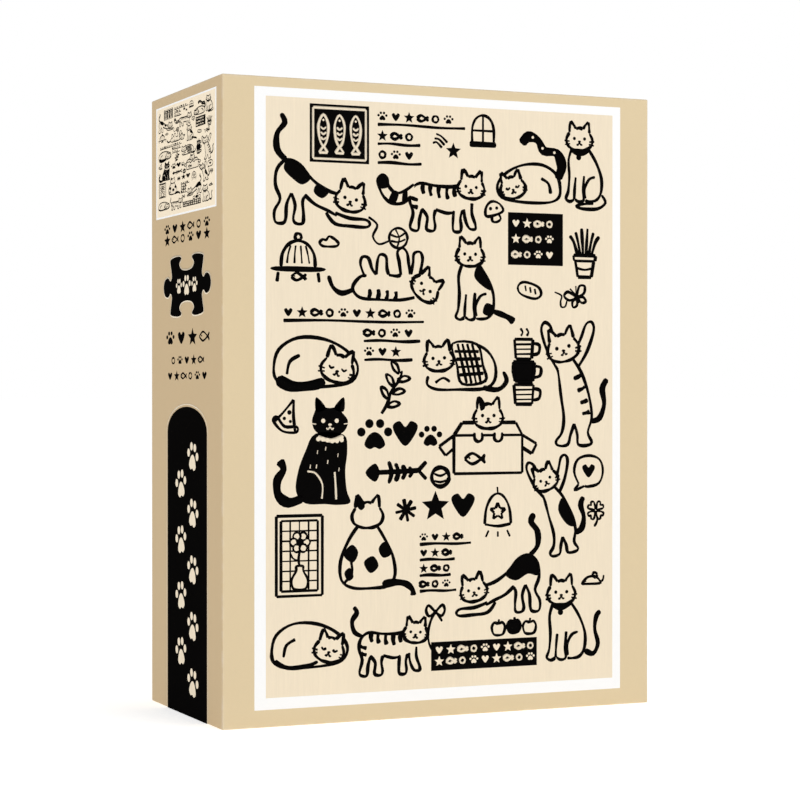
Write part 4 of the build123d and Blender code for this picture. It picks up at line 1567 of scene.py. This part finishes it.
class PUZZLE_OT_front(bpy.types.Operator):
    """Prints the front: white frame, cream picture and brush drawings"""

    bl_idname = "puzzle.front"
    bl_label = "Front print"

    def execute(self, context):
        at = context.scene.puzzle_picture
        edges = (at.frame_left, at.frame_right, at.frame_bottom, at.frame_top)
        plate_on_front("front_frame", "white print", FRAME_PRINT, *edges)
        edges = (at.left, at.right, at.bottom, at.top)
        plate_on_front("front_picture", "cream picture print", PICTURE_PRINT, *edges)
        sheet = front_sheet(at.left, at.bottom)
        print_page("front_drawings", draw_picture(), sheet, "lid", "covering_paper", DRAWING_PRINT)
        return {"FINISHED"}


# The small picture's frame and ground: back, front, lower and upper edge as shares of the spine
SPINE_PLATES = (
    ("spine_white", "white print", FRAME_PRINT, 0.073, 0.927, 0.8, 0.9835),
    # Its ground is the lighter copy of the cream print: painted light
    ("spine_ground_painted_light", "pale picture print", PICTURE_PRINT, 0.087, 0.913, 0.8028, 0.9809),
)
# Its drawings: back edge, lower edge, width and height, as shares too
SPINE_PICTURE = (0.094, 0.8055, 0.812, 0.1725)


class PUZZLE_OT_spine(bpy.types.Operator):
    """Prints the spine: a small picture, a jigsaw sign, small marks and the black band"""

    bl_idname = "puzzle.spine"
    bl_label = "Spine print"

    def execute(self, context):
        low, high = LID
        depth, height = high.y - low.y, high.z - low.z
        corner = Vector((low.x, high.y, low.z))
        spine = Sheet(corner, Vector((0, -1, 0)), Vector((0, 0, 1)), Vector((-1, 0, 0)))
        for name, finish, thickness, back, front, bottom, top in SPINE_PLATES:
            corner = Vector(
                (low.x - thickness * MM, high.y - front * depth, low.z + bottom * height)
            )
            opposite = Vector((low.x + BACKING * MM, high.y - back * depth, low.z + top * height))
            add_piece(name, box_mesh(corner, opposite), "lid", "covering_paper", finish)
        back, bottom, wide, high_share = SPINE_PICTURE
        picture = spine._replace(origin=on_sheet(spine, back * depth / MM, bottom * height / MM, 0))
        scale = (wide * depth / MM / PAGE_WIDTH, high_share * height / MM / PAGE_HEIGHT)
        print_page(
            "spine_picture", draw_picture(), picture, "lid", "covering_paper", DRAWING_PRINT,
            scale=scale, steps=2, broad=1.6,
        )
        print_page("spine_signs", draw_spine(), spine, "lid", "covering_paper", PRINT)
        return {"FINISHED"}


class PUZZLE_OT_back(bpy.types.Operator):
    """Prints a small jigsaw sign on the back of the base"""

    bl_idname = "puzzle.back"
    bl_label = "Back print"

    def execute(self, context):
        low, high = BASE
        corner = Vector((high.x, high.y, low.z))
        back = Sheet(corner, Vector((-1, 0, 0)), Vector((0, 0, 1)), Vector((0, 1, 0)))
        page = []
        sign = Pen(page, (high.x - low.x) / MM / 2, 24.0, width=0.6)
        sign.shape(*jigsaw_outline(27.0, 20.0))
        sign.colour = "paper"
        paw(sign, 0, -0.3, 3.8)
        sign.colour = "ink"
        sign.line((-46.0, 0), (-20.0, 0), width=0.7)
        sign.line((20.0, 0), (46.0, 0), width=0.7)
        print_page("back_sign", page, back, "base", "covering_paper", PRINT)
        return {"FINISHED"}


def islands(shape):
    """The groups of faces that hang together, in the order of their first faces."""
    seen = set()
    for first in shape.faces:
        if first in seen:
            continue
        seen.add(first)
        group = [first]
        for face in group:
            for edge in face.edges:
                for beside in edge.link_faces:
                    if beside not in seen:
                        seen.add(beside)
                        group.append(beside)
        yield group


FLAT = 0.999  # cosine between two directions that count as one
OUTLINE_RUN = 2.2 * MM  # longest run that a thinned outline leaves without a point
BEND = 0.955  # cosine below which an outline bends


def piece_outline(group):
    """A flat piece's outline on its forward face, that face's normal and the thickness."""
    by_area = sorted(group, key=lambda face: -face.calc_area())
    normal = by_area[0].normal.copy()
    if normal.y > 0:
        normal.negate()
    faces = [face for face in group if face.normal.dot(normal) > FLAT]
    backs = [face for face in group if face.normal.dot(normal) < -FLAT]
    thickness = (faces[0].verts[0].co - backs[0].verts[0].co).dot(normal)
    inside = set(faces)
    follow = {}
    for face in faces:
        for loop in face.loops:
            if not any(beside in inside for beside in loop.edge.link_faces if beside is not face):
                follow[loop.vert] = loop.link_loop_next.vert
    start = vert = next(iter(follow))
    ring = []
    while True:
        ring.append(vert.co.copy())
        vert = follow[vert]
        if vert is start:
            break
    return ring, normal, thickness


def thin_out(ring):
    """The outline with fewer points: it keeps those where it bends, and some on its long runs."""
    kept = [ring[0]]
    for k in range(1, len(ring)):
        run = (ring[k] - kept[-1]).length
        ahead = (ring[(k + 1) % len(ring)] - ring[k]).normalized()
        bends = ahead.dot((ring[k] - kept[-1]).normalized()) < BEND
        if run > OUTLINE_RUN or (run > OUTLINE_RUN / 6 and bends):
            kept.append(ring[k])
    return kept


PIECE_FINISHES = ("printed piece", "blue-grey back", "board edge")
PRINTED, BACK, CUT = range(3)


class PUZZLE_OT_pieces(bpy.types.Operator):
    """Makes the pressed puzzle pieces: printed face, rounded edge, board edge and blue-grey back"""

    bl_idname = "puzzle.pieces"
    bl_label = "Puzzle pieces"

    def execute(self, context):
        values = context.scene.puzzle_pieces
        chance = Random(values.seed)
        for row in ROWS:
            source = bmesh.new()
            source.from_mesh(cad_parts[row].data)
            bmesh.ops.remove_doubles(source, verts=source.verts, dist=1e-6)
            source.normal_update()
            pressed = bmesh.new()
            for group in islands(source):
                ring, normal, thickness = piece_outline(group)
                face_down = chance.random() < values.face_down
                self.press(pressed, thin_out(ring), normal, thickness, values.round_over, face_down)
            source.free()
            bmesh.ops.recalc_face_normals(pressed, faces=pressed.faces)
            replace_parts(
                add_piece(row + "_cut", pressed, "bag", "puzzle_board", *PIECE_FINISHES), row
            )
        return {"FINISHED"}

    def press(self, pressed, ring, normal, thickness, round_over, face_down):
        """One piece: its outline filled, thickened, and rounded where the press came down."""
        top = pressed.faces.new([pressed.verts.new(point) for point in ring])
        extruded = bmesh.ops.extrude_face_region(pressed, geom=[top])["geom"]
        bottom = next(part for part in extruded if isinstance(part, bmesh.types.BMFace))
        bmesh.ops.translate(pressed, vec=-normal * thickness, verts=bottom.verts)
        for face in {beside for edge in top.edges for beside in edge.link_faces}:
            face.material_index = CUT
        printed, back = (bottom, top) if face_down else (top, bottom)
        printed.material_index = PRINTED
        back.material_index = BACK
        rounded = bevel(pressed, list(printed.edges), round_over, 1)["faces"]
        if not rounded:
            raise RuntimeError("a piece's edge was not rounded")
        for face in rounded:
            face.material_index = PRINTED


# The film bag
CELL = 2.0 * MM  # width of the cells in which the heap's front is kept
PEAK_SPREAD = 4  # cells over which a peak holds the film up
SMOOTHING = 30  # rounds of smoothing between the peaks
WELD = 10.0 * MM  # height of the welded strip
CROWN = 24.0 * MM  # height over which the film narrows to it
CORNER = 9.15 * MM  # rounding of the upright edges
FILM_GAP = 0.12 * MM
STRIP = 0.2 * MM  # half thickness of the welded strip
FILM_EDGE = 3.2 * MM  # longest edge of the film's mesh
SLACK_FROM = 135 * MM  # height over which the film is loose


def heap_front(low, high):
    """How far forward the heap reaches, as a smooth cover over its peaks, cell by cell."""
    count = (int((high.x - low.x) / CELL) + 1, int((high.z - low.z) / CELL) + 1)
    front = np.full(count, high.y)
    for row in ROWS:
        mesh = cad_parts[row].data
        points = np.empty(len(mesh.vertices) * 3)
        mesh.vertices.foreach_get("co", points)
        points = points.reshape(-1, 3)
        cells_x = np.clip(((points[:, 0] - low.x) / CELL).astype(int), 0, count[0] - 1)
        cells_z = np.clip(((points[:, 2] - low.z) / CELL).astype(int), 0, count[1] - 1)
        np.minimum.at(front, (cells_x, cells_z), points[:, 1])
    for _ in range(PEAK_SPREAD):
        front = neighbours(front, np.minimum)
    bound = front
    for _ in range(SMOOTHING):
        front = np.minimum(neighbours(front, np.add), bound)
    return front


def share_of(value, low, high):
    """Where a value lies between two others, from 0 to 1."""
    return min(max((value - low) / (high - low), 0.0), 1.0)


def neighbours(field, join):
    """Each cell joined with the cells beside it: by np.minimum, or by np.add for the mean."""
    edged = np.pad(field, 1, mode="edge")
    joined = edged[1:-1, 1:-1]
    for shifted in (edged[:-2, 1:-1], edged[2:, 1:-1], edged[1:-1, :-2], edged[1:-1, 2:]):
        joined = join(joined, shifted)
    return joined / 5 if join is np.add else joined


class PUZZLE_OT_film(bpy.types.Operator):
    """Lays the clear film over the heap of pieces, drawn in to its welded strip"""

    bl_idname = "puzzle.film"
    bl_label = "Film bag"

    def execute(self, context):
        low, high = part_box("film_bag")
        front = heap_front(low, high)
        film = box_mesh(low, high)
        for _ in range(6):
            long_edges = [edge for edge in film.edges if edge.calc_length() > FILM_EDGE]
            if long_edges:
                bmesh.ops.subdivide_edges(film, edges=long_edges, cuts=1, use_grid_fill=True)
        for vert in film.verts:
            vert.co.y = self.drape(vert.co, low, high, front)
        crown = [vert for vert in film.verts if vert.co.z > high.z - WELD - CROWN]
        axes = {"use_axis_x": False, "use_axis_y": True, "use_axis_z": False}
        bmesh.ops.smooth_vert(film, verts=crown, factor=0.3, **axes)
        for face in film.faces:
            face.smooth = True
            face.material_index = int(face.calc_center_median().z > high.z - WELD)
        piece = add_piece("film_pillow", film, "bag", "film", "clear film", "welded film")
        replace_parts(piece, "film_bag")
        return {"FINISHED"}

    def drape(self, point, low, high, front):
        """How far back a point of the flat box lies once the film hangs over the heap."""
        x, y, z = point
        share = (high.y - y) / (high.y - low.y)
        cell_x = min(int((x - low.x) / CELL), len(front) - 1)
        cell_z = min(int((z - low.z) / CELL), len(front[0]) - 1)
        from_side = min(x - low.x, high.x - x)
        rise = CORNER - sqrt(CORNER**2 - max(CORNER - from_side, 0) ** 2)
        fore = max(front[cell_x, cell_z] - FILM_GAP, low.y) + rise
        aft = high.y - rise
        middle = (low.y + high.y) / 2
        drawn = share_of(z, high.z - WELD - CROWN, high.z - WELD)
        fore += (middle - STRIP - fore) * drawn
        aft += (middle + STRIP - aft) * drawn
        fore = max(fore, low.y + 0.1 * MM)
        loose = sin(pi * share_of(z, low.z + SLACK_FROM, high.z - WELD))
        slack = min(from_side / (12 * MM), 1.0) * (0.25 + 1.6 * loose) * MM
        broad = noise.noise(Vector((x * 95, 2 * share, z * 34)))
        fine = noise.noise(Vector((x * 260, 0.5, z * 80)))
        return min(max(aft + (fore - aft) * share + (broad + 0.5 * fine) * slack, low.y), high.y)


SHEET_MARGIN = 6.0 * MM  # bare paper at the open edges of the front leaf
SHEET_BORDER = 0.5 * MM  # and at its folds
SHEET_SCALE = 2.05  # of its picture to the box's


class PUZZLE_OT_sheet(bpy.types.Operator):
    """Finishes the folded picture sheet, with the part of the picture that its front leaf shows"""

    bl_idname = "puzzle.sheet"
    bl_label = "Picture sheet"

    def execute(self, context):
        dress("picture_sheet", "sheet paper")
        low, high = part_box("picture_sheet")
        corner = Vector((low.x + SHEET_MARGIN, low.y, low.z + SHEET_MARGIN))
        across, up = Vector((1, 0, 0)), Vector((0, 0, 1))
        leaf = Sheet(corner, across, up, Vector((0, -1, 0)))
        opposite = Vector((high.x - SHEET_BORDER, low.y + 0.002 * MM, high.z - SHEET_BORDER))
        ground = box_mesh(Vector((corner.x, low.y - 0.01 * MM, corner.z)), opposite)
        add_piece("sheet_picture", ground, "sheet", "sheet_paper", "cream picture print")
        print_page(
            "sheet_drawings", draw_picture(), leaf, "sheet", "sheet_paper", PRINT,
            scale=(SHEET_SCALE, SHEET_SCALE), broad=0.85, clip=((opposite, across), (opposite, up)),
        )
        return {"FINISHED"}


FLOOR_REACH = 30.0
LIGHT_SIZE = 0.9
KEY_PLACE = (0.62, -1.25, 0.95)
FILL_PLACE = (-1.4, -0.04, 0.5)
CAMERA_PLACE = (-1.105, -3.169, 0.516)  # from the box's lower front left corner, in box heights
CAMERA_DIP, CAMERA_TURN = 0.22, 23.85  # in degrees


class PUZZLE_OT_stage(bpy.types.Operator):
    """Sets the white floor, the soft lights and the camera"""

    bl_idname = "puzzle.stage"
    bl_label = "Stage"

    def execute(self, context):
        values = context.scene.puzzle_stage
        scene = context.scene
        floor_mesh = bmesh.new()
        bmesh.ops.create_grid(floor_mesh, x_segments=1, y_segments=1, size=FLOOR_REACH)
        mesh = bpy.data.meshes.new("floor")
        floor_mesh.to_mesh(mesh)
        floor_mesh.free()
        floor = bpy.data.objects.new("floor", mesh)
        scene.collection.objects.link(floor)
        white, _, shader = new_material("white floor")
        finish = {
            "Base Color": (0.95, 0.95, 0.95, 1), "Roughness": 0.9, "Specular IOR Level": 0.0,
            "Emission Color": (1, 1, 1, 1), "Emission Strength": values.floor,
        }
        for label, value in finish.items():
            shader.inputs[label].default_value = value
        mesh.materials.append(white)
        surround = bpy.data.worlds.new("surround")
        surround.use_nodes = True
        nodes = Nodes(surround.node_tree)
        seen = nodes.add("ShaderNodeLightPath").outputs["Is Camera Ray"]
        background = surround.node_tree.nodes["Background"]
        background.inputs["Color"].default_value = (1, 1, 1, 1)
        nodes.join(nodes.ramp(seen, 0.0, 1.0, values.surround, 1.0), background.inputs["Strength"])
        scene.world = surround
        self.light("key", KEY_PLACE, values.key)
        self.light("fill", FILL_PLACE, values.fill)
        self.camera(scene, values.lens)
        scene.view_settings.view_transform = "Standard"
        return {"FINISHED"}

    def light(self, name, place, power):
        """A square soft light that looks at the middle of the box."""
        lamp = bpy.data.lights.new(name, "AREA")
        lamp.size = LIGHT_SIZE
        lamp.energy = power
        holder = bpy.data.objects.new(name, lamp)
        middle = (Vector(cad_box[0]) + Vector(cad_box[1])) / 2
        holder.location = place
        holder.rotation_euler = (middle - Vector(place)).to_track_quat("-Z", "Y").to_euler()
        bpy.context.scene.collection.objects.link(holder)

    def camera(self, scene, lens):
        """The camera, at the left of the box's front and level with its middle."""
        view = bpy.data.cameras.new("camera")
        view.lens = lens
        view.sensor_width = 36.0
        holder = bpy.data.objects.new("camera", view)
        low, high = Vector(cad_box[0]), Vector(cad_box[1])
        holder.location = low + Vector(CAMERA_PLACE) * (high.z - low.z)
        holder.rotation_euler = (radians(90 - CAMERA_DIP), 0, radians(-CAMERA_TURN))
        scene.collection.objects.link(holder)
        scene.camera = holder


# ---- The panel and the order of work ----

OPERATORS = (
    PUZZLE_OT_stage,
    PUZZLE_OT_cover,
    PUZZLE_OT_board,
    PUZZLE_OT_front,
    PUZZLE_OT_spine,
    PUZZLE_OT_back,
    PUZZLE_OT_pieces,
    PUZZLE_OT_film,
    PUZZLE_OT_sheet,
)


class PUZZLE_PT_panel(bpy.types.Panel):
    """Lists the steps and the values of the boxed puzzle"""

    bl_idname = "PUZZLE_PT_panel"
    bl_label = "Boxed puzzle"
    bl_space_type = "VIEW_3D"
    bl_region_type = "UI"
    bl_category = "Puzzle"

    def draw(self, context):
        for operator in OPERATORS:
            self.layout.operator(operator.bl_idname)
        for name, group in GROUPS.items():
            values = getattr(context.scene, name)
            column = self.layout.column()
            for key in group.__annotations__:
                column.prop(values, key)


def register():
    for group in GROUPS.values():
        bpy.utils.register_class(group)
    for name, group in GROUPS.items():
        setattr(bpy.types.Scene, name, PointerProperty(type=group))
    for operator in OPERATORS:
        bpy.utils.register_class(operator)
    bpy.utils.register_class(PUZZLE_PT_panel)


def unregister():
    bpy.utils.unregister_class(PUZZLE_PT_panel)
    for operator in reversed(OPERATORS):
        bpy.utils.unregister_class(operator)
    for name in GROUPS:
        delattr(bpy.types.Scene, name)
    for group in GROUPS.values():
        bpy.utils.unregister_class(group)


def main():
    register()
    make_materials(bpy.context.scene)
    for operator in OPERATORS:
        group, name = operator.bl_idname.split(".")
        getattr(getattr(bpy.ops, group), name)()


if __name__ == "__main__":
    main()
